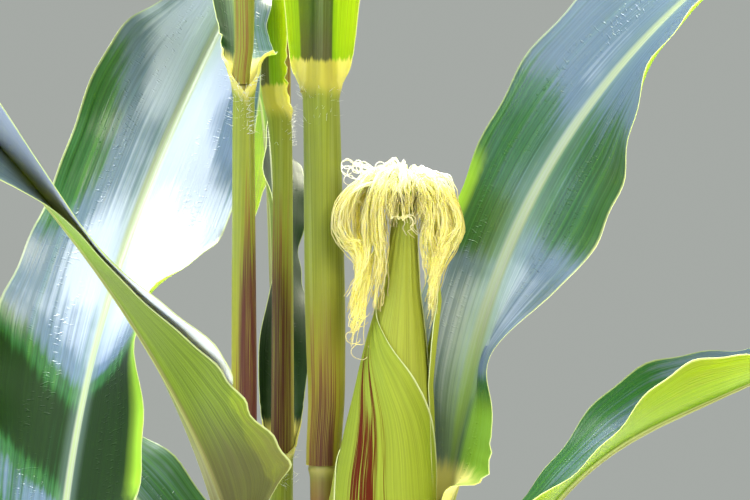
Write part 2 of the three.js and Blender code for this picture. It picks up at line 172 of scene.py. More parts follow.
LEAVES = {
    "main": [
        leaf(0.155, -30, 0.42, 0.026, 48, 90),
        leaf(0.245, 152, 0.56, 0.031, 56, 100),
        leaf(
            0.365, 47, 0.835, 0.0405, 69.5, 54.8,
            arch=(0.266, 0.617), swing=-14.1, roll=-36.6, twist=55, twisted=(0.264, 0.895),
            gutter=28.3, fold=(12, 42.3), unfold=(0.405, 0.718), wave=(0.279, 4, 5, 4.96),
            finish="sunny", shady=True, bloom=(
                ((0, 0.4), (1, 0.4)),
                ((0, 0.7), (0.3, 0.45), (0.45, 0.2), (0.58, 0.35), (0.7, 0.9), (1, 0.5)),
            ),
        ),
        leaf(0.515, 155, 0.78, 0.04, 64, 118),
        leaf(
            0.69, -12, 0.795, 0.049, 83.6, 61.5, collar=0.873, bulge=0.06, wide=0.036,
            turn=32, base_half=0.0338, heading=-2, settle=0.08, arch=(-0.05, 0.584),
            swing=-86.6, roll=73.4, twist=-41.2, twisted=(0.17, 0.52), gutter=12.6,
            fold=(0, 1), wave=(0.229, 3.09, 1.6, 1.26),
            lit=((1, 0.155, 0.22, 0.76, 1), (-1, -0.02, 0.072, 0.12, 0.6)), bloom=(
                (
                    (0, -0.3), (0.06, -0.2), (0.085, 0.9), (0.155, 1), (0.185, 0.34), (0.2, 0.1),
                    (0.27, 0.12), (0.31, 0.65), (1, 0.45),
                ),
                (
                    (0, 0.6), (0.1, 1.15), (0.135, 1.05), (0.16, 0.2), (0.24, 0.12), (0.262, 0.3),
                    (0.29, 0.7), (1, 0.5),
                ),
            ),
            swell=0.007, lobes=((-1, 0.012, 0.016, (0.011, -0.003, -0.006)),), trim_right=(
                (0, 1), (0.03, 1), (0.043, 0.92), (0.053, 0.72), (0.063, 0.52), (0.072, 0.34),
                (0.08, 0.26), (0.09, 0.24), (0.098, 0.3), (0.108, 0.4), (0.12, 0.52), (0.135, 0.66),
                (0.15, 0.8), (0.17, 0.93), (0.2, 1), (0.23, 1.04), (0.265, 1.13), (0.3, 1.1),
                (0.34, 1),
            ),
        ),
        leaf(
            0.879, 275, 0.79, 0.042, 81, 108,
            arch=(0.13, 0.75), gutter=18, stain=1.1, stained=(0.42, 1.12), stain_side=264,
            stain_wide=(0.45, 0.95), stout=0.002, aside=0.0024,
        ),
        leaf(1.104, 75, 0.76, 0.04, 66, 112),
        leaf(1.3, 280, 0.66, 0.036, 68, 104),
        leaf(1.485, 60, 0.54, 0.031, 70, 90),
        leaf(1.65, 225, 0.42, 0.025, 72, 74),
        leaf(1.79, 30, 0.3, 0.019, 74, 54, collar=1.895),
    ],
    "left_shoot": [
        leaf(0.34, 225, 0.44, 0.027, 58, 108),
        leaf(0.49, 140, 0.54, 0.029, 66, 120),
        leaf(
            0.65, 268, 0.513, 0.0428, 50.3, 11, collar=0.81,
            arch=(0.05, 1.23), swing=-87, roll=-55, twist=-57, twisted=(0.01, 0.51),
            gutter=23, fold=(81, 22), unfold=(0.62, 1.04), finish="dull",
            lobes=(
                (-1, 0.215, 0.042, (0.002, 0, 0.011)), (-1, 0.345, 0.065, (-0.004, 0, 0.034)),
                (1, 0.355, 0.045, (-0.017, 0, -0.015)),
            ),
            trim_right=(
                (0, 1), (0.08, 1), (0.13, 0.86), (0.24, 0.78), (0.29, 0.62), (0.33, 0.8),
                (0.365, 1.15), (0.41, 1.42), (0.5, 1.4), (0.57, 1.2), (0.64, 1), (1, 1),
            ),
            bloom=(((0, 2.8), (0.44, 2.8), (0.5, 1.5), (1, 1.5)), ((0, 0.6), (1, 0.8))),
            trim_left=(
                (0, 1), (0.29, 1), (0.35, 0.88), (0.41, 0.85), (0.5, 0.86), (0.6, 1), (1, 1),
            ),
        ),
        leaf(
            0.865, 106, 0.56, 0.038, 50, 66, arch=(0, 0.8), heading=93, settle=0.04,
            swing=45, roll=31.6, gutter=8, fold=(2.7, 0), unfold=(0, 0.35), stain=3.4,
            stain_side=318, stain_wide=(-0.15, 0.88), stout=0.0015, aside=0.0022, shady=True,
            bloom=(((0, 0.5), (1, 0.5)), ((0, -0.2), (0.2, -0.1), (1, 0.3))),
            trim_right=((0, 1), (0.005, 1.5), (0.03, 1.7), (0.05, 1.35), (0.08, 1)),
        ),
        leaf(1.106, 225, 0.42, 0.025, 70, 90, stout=0.0009, aside=0.0022),
        leaf(1.22, 128, 0.3, 0.018, 60, 60, collar=1.3),
    ],
    "rear_shoot": [
        leaf(0.35, 50, 0.52, 0.029, 56, 105),
        leaf(0.5, 175, 0.62, 0.033, 66, 122),
        leaf(
            0.69, 96, 0.64, 0.035, 66, 112, roll=68, finish="dull",
            bloom=(((0, -0.6), (1, -0.6)), ((0, -0.6), (1, -0.6))),
        ),
        leaf(
            0.895, 209.5, 0.743, 0.0556, 84.4, 141.9, collar=1.088, arch=(0.069, 0.121),
            swing=100, roll=-36.6, twist=56, twisted=(0.28, 0.472), gutter=25, fold=(13.3, 4.9),
            wave=(0.256, 4.07, 3.34, 3.11), stain=1.2, stain_side=250,
            lit=((1, 0.42, 0.58, 0.79, 1),), bloom=(
                (
                    (0, 1.3), (0.16, 1.1), (0.2, 0.5), (0.25, 0), (0.3, 0), (0.33, 0.35),
                    (0.36, 0.75), (0.45, 0.95), (0.48, 0.3), (0.5, -0.6), (0.555, -0.5),
                    (0.575, 0.6), (0.605, 0.5), (0.63, -0.4), (1, 0.2),
                ),
                (
                    (0, 1), (0.18, 0.7), (0.23, 0.3), (0.265, 0.7), (0.3, 1.15), (0.42, 1.15),
                    (0.46, 0.9), (0.49, -0.8), (1, -0.8),
                ),
            ),
            bloom_bend=(0.06, 0.03, 0.75),
        ),
        leaf(1.105, 62, 0.54, 0.03, 68, 100),
        leaf(1.29, 200, 0.34, 0.02, 72, 64, collar=1.385),
    ],
}

# The ear: its axis, its radius at shares of its length, and its husks. left and right are a husk's
# margins as pairs of a share of the ear's length and an angle from the photographed side, positive
# to the right; tip is the share that it reaches, layer its place outward in steps, and stand how
# far it leaves the ear.
EAR_AXIS = (
    (0.015, -0.009, 0.738),
    (0.0156, -0.018, 0.8),
    (0.0174, -0.0225, 0.864),
    (0.0226, -0.0235, 0.919),
    (0.0266, -0.023, 0.97),
    (0.0295, -0.022, 1.024),
)
EAR_RADII = (
    0.008, 0.013, 0.02, 0.0255, 0.0286, 0.0288, 0.0266, 0.0236, 0.02, 0.0158, 0.0108, 0.0082, 0.0062
)
HUSKS = (
    {
        "name": "core", "layer": -3, "tip": 1.0, "stand": (),
        "left": ((0, -180), (1, -180)),
        "right": ((0, 180), (1, 180)),
    },
    {
        "name": "front", "layer": -1.6, "tip": 1.0, "stand": (),
        "left": ((0, -150), (0.8, -140), (0.93, -118), (0.985, -60), (1, -35)),
        "right": ((0, 130), (0.8, 112), (0.93, 96), (0.985, 40), (1, -25)),
    },
    {
        "name": "back", "layer": -0.9, "tip": 0.97, "stand": (),
        "left": ((0, 62), (0.4, 70), (0.7, 74), (0.85, 82), (0.93, 100), (0.97, 168)),
        "right": ((0, 250), (0.8, 240), (0.92, 215), (0.97, 178)),
    },
    {
        "name": "free_tip", "layer": -0.3, "tip": 0.9,
        "stand": ((0.55, 0), (0.66, 0.0008), (0.74, 0.005), (0.82, 0.0105), (0.9, 0.0108)),
        "left": ((0, 70), (0.5, 66), (0.66, 60), (0.78, 58), (0.87, 70), (0.9, 86)),
        "right": ((0, 190), (0.5, 165), (0.66, 140), (0.78, 118), (0.87, 100), (0.9, 88)),
    },
    {
        "name": "outer", "layer": 0.3, "tip": 0.825, "stand": (),
        "left": ((0, -235), (0.5, -225), (0.7, -190), (0.79, -140), (0.825, -92)),
        "right": (
            (0, 128), (0.2, 112), (0.44, 92), (0.516, 84), (0.563, 76), (0.607, 64),
            (0.645, 47), (0.689, 24), (0.723, -2), (0.763, -31), (0.8, -68), (0.825, -88),
        ),
    },
    {
        "name": "low", "layer": 1.2, "tip": 0.57, "stand": (),
        "left": ((0, -230), (0.4, -220), (0.52, -190), (0.57, -142)),
        "right": ((0, -38), (0.2, -44), (0.42, -58), (0.5, -76), (0.55, -112), (0.57, -138)),
    },
)
HUSK_WALL = 0.0005
HUSK_STEP = 0.0005
HUSK_LEAST = 1.5  # degrees that stay between a husk's margins
HUSK_ROWS, HUSK_COLUMNS = 84, 57

# Red strips of the outer husk: place and width across it, and amount.
HUSK_STRIPS = ((0.21, 0.047, 1), (0.3, 0.03, 1), (0.36, 0.019, 1), (0.435, 0.013, 0.8))
LOW_STRIP = 1  # the strip that fades from the ear's middle upward
SHANK_FOOT = ((-0.0024, -0.0022, 0.714), (0.006, -0.005, 0.725), (0.015, -0.009, 0.744))
SHANK_RADII = (0.0055, 0.0062)

# Silk: strands leave the ear's tip, arch over and gather in a hank on each side.
SILK_ROOT = (0.029, -0.022, 1.026)
STRAND_POINTS = 40
STRAND_CURL = 0.0075
SILK_SEED = 11

# A tassel's spike is its length above the stem, reach its lowest branch's, and first and last are
# the heights of its branches over the stem. The bends of a branch are shares of its reach.
TASSELS = {
    "main": {"spike": 0.33, "branches": 13, "reach": 0.215, "first": 0.012, "last": 0.12},
    "left_shoot": {"spike": 0.19, "branches": 6, "reach": 0.1, "first": 0.01, "last": 0.06},
    "rear_shoot": {"spike": 0.21, "branches": 6, "reach": 0.12, "first": 0.01, "last": 0.06},
}

BRANCH_BENDS = ((0, 0), (0.2, 0.36), (0.5, 0.62), (0.86, 0.58))
SPIKELET_LEAN = math.radians(24)
SPIKE_TIP = 0.0009
BRANCH_RADII = (0.0012, 0.0006)

SPIKE_ROWS, BRANCH_ROWS = 30, 20

# Hairs of one collar, and the heights between which they stand, from the collar.
HAIRS = 150
HAIR_SEED = 100
HAIR_ZONE = (-0.034, -0.002)

# Brace roots stand round the main stalk, starting at a bearing; those in skip are left out.
BRACE = {
    "from": 0.046, "count": 9, "reach": 0.046, "radius": 0.0034, "start": 10, "skip": (2, 3, 5),
}
BRACE_ROWS = 14

# The view: the photograph's scale at the main stalk, from a camera level with its middle.
PIXEL = 0.00055
PHOTO_WIDTH = 750
CAMERA = (0.0132, -1.2, 0.99945)
SENSOR = 0.036

# Half the floor's width, and the lights: place, width, height, watts and screen colour. All of
# them point at the same place.
FLOOR = 2.6
LIT_POINT = (0, 0, 1)
LIGHTS = (
    ("key", (0.7, 2.0, 2.9), 0.8, 0.8, 165, (255, 250, 226)),
    ("sky", (-1.95, -1.36, 1.4), 2.2, 1.3, 58, (184, 202, 250)),
    ("front", (0.9, -1.9, 1.9), 0.9, 0.9, 36, (255, 252, 236)),
    ("top", (-0.32, 0.0, 2.6), 0.9, 1.1, 112, (246, 250, 255)),
)


def tint(red, green, blue):
    """A linear colour from 0-255 screen values."""
    values = (red / 255, green / 255, blue / 255)
    return tuple(v / 12.92 if v <= 0.04045 else ((v + 0.055) / 1.055) ** 2.4 for v in values)


class Tone:
    """Colours that only the materials and the stage use."""

    wide_vein = tint(62, 116, 40)
    # painted sheen and painted white highlights of an upper face, where glossy leaves catch the
    # light
    bright_bloom = tint(196, 204, 214)
    white_bloom = tint(240, 244, 240)
    # painted shade of an upper face, where its tables run low
    painted_deep_shade = tint(18, 34, 8)
    lit = tint(150, 196, 50)
    upper_margin = tint(180, 192, 132)
    pale_foot = tint(150, 178, 116)
    beside_midrib = tint(110, 132, 118)
    midrib_groove = tint(150, 164, 112)
    midrib_foot = tint(122, 156, 60)
    upper_gloss = (tint(60, 72, 50), tint(255, 255, 255))
    blush = tint(100, 68, 66)
    aged = (tint(82, 98, 24), tint(122, 142, 38))
    aged_foot = tint(74, 62, 44)
    painted_stem_shadow = (tint(52, 70, 18), tint(56, 40, 36))
    under_margin = tint(214, 220, 160)
    under_midrib = (tint(128, 116, 62), tint(196, 200, 138))
    pale_sheath = tint(176, 186, 112)
    low_sheath = tint(182, 154, 52)
    faint_streak = tint(128, 74, 44)
    collar_middle = tint(168, 160, 62)
    collar_patch = tint(210, 198, 84)
    sunburn = tint(128, 62, 36)
    joint = tint(170, 160, 80)
    # painted shadow of the stalk behind a blade's foot, olive, browner by the collar
    root = (tint(120, 84, 56), tint(168, 146, 84))
    husk_streak = (tint(96, 30, 12), tint(84, 2, 16))
    husk_gloss = (tint(222, 226, 170), tint(90, 30, 30))
    husk_margin = tint(226, 230, 170)
    strand = tint(190, 176, 92)
    # painted shade of strands that hang low
    painted_low_shade = tint(172, 150, 66)
    dry_tassel = tint(150, 112, 70)
    floor = (tint(232, 232, 226), tint(240, 240, 236))
    sky = tint(226, 232, 226)


def colour(name, description, default):
    return FloatVectorProperty(
        name=name, description=description, default=default, size=3, subtype="COLOR", min=0, max=1
    )


def distance(name, description, default, low, high):
    return FloatProperty(
        name=name, description=description, default=default, min=low, max=high, unit="LENGTH"
    )


class MaizeColours(bpy.types.PropertyGroup):
    """The plant's colours."""

    leaf_upper: colour("Upper Face", "Deep green of a blade's upper face", tint(42, 90, 44))
    # blue grey waxy bloom, partly a painted reflection of the sky
    leaf_bloom: colour("Bloom", "Blue grey bloom on the upper face", tint(104, 118, 150))
    leaf_under: colour("Under Face", "Yellow green of a blade's under face", tint(134, 178, 8))
    midrib: colour("Midrib", "Cream of a midrib", tint(160, 166, 140))
    collar: colour("Collar", "Yellow of collars", tint(238, 226, 128))
    sheath: colour("Sheath", "Green of sheaths", tint(146, 156, 54))
    streak: colour("Streak", "Maroon streaks of sheaths and husks", tint(80, 2, 40))
    stalk: colour("Stalk", "Green of bare stalk", tint(148, 152, 66))
    husk: colour("Husk", "Yellow green of the outer husk", tint(156, 172, 46))
    husk_pale: colour("Inner Husk", "Paler green of inner husks", tint(166, 174, 56))
    silk: colour("Silk", "Yellow of silk", tint(226, 218, 160))
    # near white painted highlight on the strands high over the ear's tip
    silk_painted_highlight: colour("Silk Tips", "Near white of the outer strands", tint(250, 249, 230))
    tassel: colour("Tassel", "Straw of tassels", tint(176, 160, 92))
    hair: colour("Hair", "White of hairs", tint(236, 238, 226))


class MaizeSizes(bpy.types.PropertyGroup):
    """Sizes that are free of the solids."""

    strands: IntProperty(
        name="Strands", description="Number of silk strands", default=960, min=20, max=1400
    )
    strand_radius: distance("Strand Radius", "Radius of a silk strand", 0.00042, 0.0001, 0.001)
    spikelet_gap: distance("Spikelet Gap", "Gap between spikelets", 0.0026, 0.001, 0.02)
    hair_length: distance("Hair Length", "Length of hairs below a collar", 0.006, 0.001, 0.02)


def lerp(a, b, share):
    return a + (b - a) * share


def smooth(x, low, high):
    share = np.clip((x - low) / (high - low), 0, 1)
    return share * share * (3 - 2 * share)


def bell(x, middle, width):
    return np.exp(-(((x - middle) / width) ** 2))


def eased(places, values, at, soft=7):
    """Values between given places from 0 to 1, with the corners softened."""
    fine = np.linspace(0, 1, 241)
    rough = np.interp(fine, places, values)
    kernel = np.hanning(2 * soft + 1) / np.hanning(2 * soft + 1).sum()
    ends = [np.full(soft, rough[0]), rough, np.full(soft, rough[-1])]
    return np.interp(at, fine, np.convolve(np.concatenate(ends), kernel, mode="valid"))


def axis_at(stem, z):
    """Points on a stem's axis at heights z."""
    z = np.asarray(z, float)
    bow = 1 - np.exp(-z / BOW_HEIGHT)
    x = stem["foot"][0] + stem["shift"][0] * bow + stem["lean"][0] * z
    y = stem["foot"][1] + stem["shift"][1] * bow + stem["lean"][1] * z
    return np.stack([x, y, z], axis=-1)


def culm_radius(stem, z):
    left = np.clip(1 - np.asarray(z, float) / stem["top"], 0, 1)
    return lerp(stem["top_radius"], stem["foot_radius"], left**CULM_TAPER)


def sheath_radius(stem, z):
    return (culm_radius(stem, z) + CULM_CLEAR) / math.cos(SOLID_STEP) + SOLID_WALL / 2


def collar_height(leaves, index):
    own = leaves[index]["collar"]
    return own if own is not None else leaves[index + 1]["node"] - COLLAR_DROP


def sheath_foot(leaves, index):
    """A sheath starts tucked inside the collar below it, unless the ear pushes that one away."""
    node = leaves[index]["node"] + SHEATH_LIFT
    if index == 0 or leaves[index - 1]["bulge"]:
        return node
    return min(node, collar_height(leaves, index - 1) - TUCK)


def sheath_frames(stem, leaf, foot, collar):
    """Stations up a sheath: points, directions, half widths and rolls."""
    shares = np.concatenate([
        np.linspace(0, 0.88, SHEATH_ROWS // 2, endpoint=False),
        np.linspace(0.88, 1, SHEATH_ROWS - SHEATH_ROWS // 2),
    ])
    z = lerp(foot, collar, shares)
    opened = np.clip((shares - SHEATH_OPENS) / (1 - SHEATH_OPENS), 0, 1)
    filled = smooth(shares, 0, 0.45) * (1 - 0.2 * smooth(shares, 0.5, 1))
    snug = sheath_radius(stem, z) + COLLAR_FLARE * opened + leaf["stout"] * filled
    out = snug + leaf["bulge"] * np.sin(math.pi / 2 * shares**0.7)
    way = math.radians(leaf["azimuth"])
    face = way + math.radians(leaf["turn"]) * shares
    wrap = lerp(SHEATH_WRAP, COLLAR_WRAP, opened)
    radius = snug
    if leaf["wide"]:
        radius = lerp(snug, leaf["wide"], np.sqrt(shares))
        half = lerp(WIDE_WRAP * snug, leaf["base_half"], shares)
        wrap = np.minimum(half / radius, WIDE_WRAP)
    point = axis_at(stem, z)
    point[:, 0] += math.cos(way) * out + leaf["aside"] * smooth(shares, 0, 0.2)
    point[:, 1] += math.sin(way) * out
    zero = np.zeros_like(z)
    return {
        "point": point,
        "across": np.stack([-np.sin(face), np.cos(face), zero], axis=1),
        "up": np.stack([-np.cos(face), -np.sin(face), zero], axis=1),
        "half": wrap * radius,
        "roll": wrap,
        "fold": zero,
        "share": zero,
        "reach": z - collar,
        "low": 1 - shares,
    }


def blade_frames(leaf, first, rows):
    """Stations along a blade from its collar, by integrating its direction."""
    s = np.arange(1, BLADE_STEPS + 1) / BLADE_STEPS
    length = leaf["length"]
    way = math.atan2(-first["up"][1], -first["up"][0])
    ruled = leaf["rise"] - leaf["droop"] * smooth(s, *leaf["arch"])
    tilt = np.radians(lerp(90, ruled, smooth(s * length, -BEND / 2, BEND / 2)))
    settled = smooth(s, 0, leaf["settle"])
    heading = way if leaf["heading"] is None else math.radians(leaf["heading"])
    turn = lerp(way, heading, settled) + math.radians(leaf["swing"]) * s
    along = np.stack(
        [np.cos(tilt) * np.cos(turn), np.cos(tilt) * np.sin(turn), np.sin(tilt)], axis=1
    )
    point = first["point"] + np.cumsum(along, axis=0) * length / BLADE_STEPS
    rows = BLADE_STEPS * np.linspace(0, 1, rows + 1)[1:] ** 1.3
    pick = np.unique(np.round(rows).astype(int)) - 1
    s, along, point, turn, settled = (each[pick] for each in (s, along, point, turn, settled))
    rolled = leaf["roll"] * settled + leaf["twist"] * smooth(s, *leaf["twisted"])
    tip = np.radians(rolled)[:, None]
    flat = np.stack([-np.sin(turn), np.cos(turn), np.zeros_like(s)], axis=1)
    across = flat * np.cos(tip) + np.cross(along, flat) * np.sin(tip)
    opened = np.exp(-s * length / OPENING)
    fold = lerp(*leaf["fold"], smooth(s, *leaf["unfold"])) * (1 - np.sqrt(opened))
    swelled = lerp(first["half"], leaf["half"], smooth(s, 0, 0.26))
    return {
        "point": point,
        "across": across,
        "up": np.cross(along, across),
        "half": np.maximum(swelled * (1 - s**3.1) ** 0.95, BLUNT_TIP),
        "roll": lerp(math.radians(leaf["gutter"]), first["roll"], opened),
        "fold": np.radians(fold),
        "share": s,
        "reach": s * length,
        "low": np.zeros_like(s),
    }


def leaf_frames(stem, leaves, index):
    leaf = leaves[index]
    sheath = sheath_frames(stem, leaf, sheath_foot(leaves, index), collar_height(leaves, index))
    first = {key: value[-1] for key, value in sheath.items()}
    rows = int(BLADE_ROWS[0] + BLADE_ROWS[1] * leaf["length"])
    blade = blade_frames(leaf, first, rows)
    return {key: np.concatenate([sheath[key], blade[key]]) for key in sheath}


def columns(rib_share):
    """Places across a leaf from -1 to 1, close together over the midrib, one row per station."""
    rib = np.outer(rib_share, RIB_COLUMNS)
    steps = 1 - (1 - np.arange(1, SIDE_COLUMNS + 1) / SIDE_COLUMNS) ** 1.2
    start = rib[:, -1:]
    side = start + (1 - start) * steps
    right = np.concatenate([rib, side], axis=1)
    return np.concatenate([-right[:, :0:-1], right], axis=1)


def bloom_of(leaf, s, t):
    """How much glaucous wax, painted sheen and painted shade a blade has, by its halves' tables and
    slants past a bend.
    """
    if not leaf["bloom"]:
        return np.full(t.shape, USUAL_BLOOM_AND_LIGHT)
    right, left = leaf["bloom"]
    right_slant, left_slant, inner = leaf["bloom_bend"]
    far = smooth(s, 0.36, 0.42)
    at = s + np.where(t < 0, right_slant, left_slant) * np.abs(t) * far
    right, left = (eased(*zip(*table), at, 3) for table in (right, left))
    near = inner * smooth(-np.abs(t), -0.85, -0.3) * (1 - far)
    return lerp(right, left, smooth(t, -0.12, 0.12)) + near


def lit_of(leaf, s, t):
    """Where light comes through a blade: from the leaf's sides, starts, ends and inner edges."""
    total = np.zeros(t.shape)
    for side, start, end, inner, much in leaf["lit"]:
        along = smooth(s, start, start + 0.025) * smooth(-s, -end, -end + 0.025)
        total += much * smooth(t * side, inner, inner + 0.14) * along
    return total


def trimmed(leaf, s, t):
    """Places across a blade, with each half scaled by its trim."""
    kept = t
    for key, side in (("trim_right", -1), ("trim_left", 1)):
        if leaf[key]:
            trim = eased(*zip(*leaf[key]), s, 3)
            kept = kept * np.where(t * side > 0, lerp(1, trim, smooth(t * side, 0.12, 0.45)), 1)
    return kept


def ripple_of(leaf, index, f, t):
    """How far a blade's points are lifted by its waves, its swell and its crinkled foot."""
    s, half, reach = f["share"], f["half"], f["reach"]
    size, count, left, right = leaf["wave"] or (RIPPLE, WAVES, index * 1.7, index * 1.7 + 1.3)
    phase = np.where(t > 0, left, right)
    wave = np.sin(2 * math.pi * count * s + phase) * smooth(s, 0.05, 0.2)
    fine_wave = np.sin(2 * math.pi * FINE_WAVES * s + 2.3 * phase) * smooth(s, 0.03, 0.15)
    ripple = half * (size * t**2 * wave + FINE_RIPPLE * np.abs(t) ** 5 * fine_wave)
    ripple += leaf["swell"] * bell(s, 0.045, 0.026) * t**2 * (t < 0)
    crinkle = bell(reach, 0.016, 0.012) * (1 - f["low"] ** 0.2)
    return ripple + CRINKLE * np.abs(t) ** 3 * crinkle * np.sin(2 * math.pi * reach / CRINKLE_STEP)


def stain_of(leaf, low, angle):
    """How strongly a sheath is streaked, towards its foot and one side."""
    around = math.radians(leaf["azimuth"] - leaf["stain_side"]) + angle
    stain = leaf["stain"] * smooth(low, *leaf["stained"])
    return stain * smooth(np.cos(around), *leaf["stain_wide"])


def leaf_shell(stem, leaves, index):
    """A leaf's upper and under points with the values that its materials read."""
    leaf = leaves[index]
    f = {key: value[:, None] for key, value in leaf_frames(stem, leaves, index).items()}
    s, half, reach, roll, fold = (f[key] for key in ("share", "half", "reach", "roll", "fold"))
    rib = RIB_SHARE * leaf["length"] * (1 - s) ** 0.8 + RIB_LEAST
    t = columns(np.minimum(rib / half, 0.5))
    angle = trimmed(leaf, s, t) * roll
    radius = half / roll
    out = radius * np.sin(np.abs(angle))
    up = radius * (1 - np.cos(angle))
    x = np.sign(angle) * (out * np.cos(fold) - up * np.sin(fold))
    y = out * np.sin(fold) + up * np.cos(fold) + ripple_of(leaf, index, f, t)
    turned = (angle + np.sign(t) * fold)[..., None]
    inward = f["up"] * np.cos(turned) - f["across"] * np.sin(turned)
    middle = f["point"] + f["across"] * x[..., None] + f["up"] * y[..., None]
    for side, centre, width, offset in leaf["lobes"]:
        moved = bell(reach, centre, width) * t**2 * (t * side > 0)
        middle = middle + (moved * smooth(reach, -0.002, 0.008))[..., None] * np.array(offset)
    in_sheath = s == 0
    spiral = OVERLAP * angle / math.pi * in_sheath * smooth(-reach, 0, 0.03)
    middle = middle - inward * spiral[..., None]
    across_rib = np.abs(t) * half / rib
    ridge = bell(across_rib, 0, 1.05)
    rise = smooth(reach, -0.05, 0.02)
    keel = KEEL_SHARE * leaf["length"] * (1 - s) ** 0.9 * ridge * rise
    groove = GROOVE * (1 - s) ** 0.6 * ridge * rise
    wall = lerp(*BLADE_WALL, np.abs(t)) * lerp(1, 0.6, s)
    wall = np.where(in_sheath, SHEATH_WALL * lerp(1, 0.45, np.abs(t) ** 4), wall)
    collar = bell(reach, 0.003, 0.0065) * smooth(across_rib, 0.4, 1.6)
    swelled = COLLAR_SWELL * collar * (1 + 0.5 * np.sin(t * 23 + index))
    upper = middle + inward * (wall / 2 - groove)[..., None]
    under = middle - inward * (wall / 2 + keel)[..., None] - inward * swelled[..., None]
    values = {
        "across": t,
        "span": t * half,
        "reach": np.broadcast_to(reach, t.shape),
        "rib": across_rib,
        "stain": stain_of(leaf, f["low"], angle),
        "bloom": bloom_of(leaf, s, t),
        "lit": lit_of(leaf, s, t),
    }
    return upper, under, values


def unit(vectors):
    return vectors / np.linalg.norm(vectors, axis=-1, keepdims=True)


def new_mesh(name, points, faces=(), edges=(), values=None, sharp=None):
    """A mesh whose points carry named values; with a sharp angle in degrees, smooth up to it."""
    mesh = bpy.data.meshes.new(name)
    mesh.from_pydata(np.asarray(points).tolist(), edges, faces)
    for key, value in (values or {}).items():
        value = np.asarray(value, np.float32)
        kind, field = ("FLOAT_VECTOR", "vector") if value.ndim == 2 else ("FLOAT", "value")
        mesh.attributes.new(key, kind, "POINT").data.foreach_set(field, value.ravel())
    if sharp:
        mesh.polygons.foreach_set("use_smooth", np.ones(len(faces), bool))
        mesh.set_sharp_from_angle(angle=math.radians(sharp))
    return mesh


def shell_mesh(name, upper, under, values):
    """A closed shell between two grids of points; material 0 is its upper face, 1 all the rest."""
    rows, cols = upper.shape[:2]
    top = np.arange(rows * cols).reshape(rows, cols)
    low = top + rows * cols
    faces = [
        (top[:-1, :-1], top[1:, :-1], top[1:, 1:], top[:-1, 1:]),
        (low[:-1, :-1], low[:-1, 1:], low[1:, 1:], low[1:, :-1]),
        (top[:-1, 0], low[:-1, 0], low[1:, 0], top[1:, 0]),
        (top[:-1, -1], top[1:, -1], low[1:, -1], low[:-1, -1]),
        (top[0, :-1], top[0, 1:], low[0, 1:], low[0, :-1]),
        (top[-1, :-1], low[-1, :-1], low[-1, 1:], top[-1, 1:]),
    ]
    quads = [np.stack([corner.ravel() for corner in corners], axis=1) for corners in faces]
    slots = [np.full(len(part), min(i, 1), np.int32) for i, part in enumerate(quads)]
    points = np.concatenate([upper.reshape(-1, 3), under.reshape(-1, 3)])
    both = {key: np.tile(value.ravel(), 2) for key, value in values.items()}
    mesh = new_mesh(name, points, np.concatenate(quads).tolist(), (), both, SHELL_SHARP)
    mesh.polygons.foreach_set("material_index", np.concatenate(slots))
    mesh.update()
    return mesh


def tube_faces(rows, sides, base=0):
    """The faces of a closed tube whose points run round it, row by row."""
    grid = base + np.arange(rows * sides).reshape(rows, sides)
    nxt = np.roll(grid, -1, axis=1)
    quads = np.stack([grid[:-1], nxt[:-1], nxt[1:], grid[1:]], axis=-1).reshape(-1, 4)
    return quads.tolist() + [grid[0, ::-1].tolist(), grid[-1].tolist()]


def tube_mesh(name, paths, radii, sides):
    """Closed tubes along paths of points, joined; radii gives a radius for each point."""
    points, faces, base = [], [], 0
    angles = np.linspace(0, 2 * math.pi, sides, endpoint=False)[:, None]
    for path, radius in zip(paths, radii):
        path = np.asarray(path, float)
        along = unit(np.gradient(path, axis=0))
        seed = (1.0, 0, 0) if abs(along[0, 0]) < 0.8 else (0, 1.0, 0)
        side = unit(np.cross(along, seed))
        ring = side[:, None] * np.cos(angles) + np.cross(along, side)[:, None] * np.sin(angles)
        faces += tube_faces(len(path), sides, base)
        base += len(path) * sides
        points.append((path[:, None] + ring * np.asarray(radius)[:, None, None]).reshape(-1, 3))
    return new_mesh(name, np.concatenate(points), faces, sharp=TUBE_SHARP)


def linked(name, data):
    """An object for some data, linked to the scene."""
    item = bpy.data.objects.new(name, data)
    bpy.context.scene.collection.objects.link(item)
    return item


def placed(mesh, *materials):
    """An object for a mesh, at the origin, with its materials."""
    for material in materials:
        mesh.materials.append(material)
    return linked(mesh.name, mesh)


def finish_piece(piece, slot, *nodes):
    if nodes:
        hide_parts(*nodes)
    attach(piece, "root")


# Node trees.
class Signal:
    """A node's output; arithmetic with it adds Math nodes to its tree."""

    def __init__(self, nodes, socket):
        self.nodes, self.socket = nodes, socket

    def __add__(self, other):
        return self.nodes.math("ADD", self, other)

    def __sub__(self, other):
        return self.nodes.math("SUBTRACT", self, other)

    def __mul__(self, other):
        return self.nodes.math("MULTIPLY", self, other)

    def __abs__(self):
        return self.nodes.math("ABSOLUTE", self)

    def ramp(self, low, high, start=0, end=1):
        """A smooth step from start to end between two values; low may be the greater one."""
        inputs = {0: self, 1: low, 2: high, 3: start, 4: end}
        return self.nodes.out("ShaderNodeMapRange", inputs, interpolation_type="SMOOTHSTEP")


class Nodes:
    """Short calls that add and wire the nodes of a tree."""

    def __init__(self, tree):
        self.tree = tree

    def feed(self, socket, value):
        if isinstance(value, Signal):
            self.tree.links.new(value.socket, socket)
        elif socket.type == "RGBA":
            socket.default_value = (*value, 1)
        else:
            socket.default_value = value

    def out(self, kind, inputs, output=0, **settings):
        """A new node's output, after its settings and inputs."""
        node = self.tree.nodes.new(kind)
        for key, value in settings.items():
            setattr(node, key, value)
        for key, value in inputs.items():
            self.feed(node.inputs[key], value)
        return Signal(self, node.outputs[output])

    def math(self, operation, a, b=0):
        return self.out("ShaderNodeMath", {0: a, 1: b}, operation=operation)


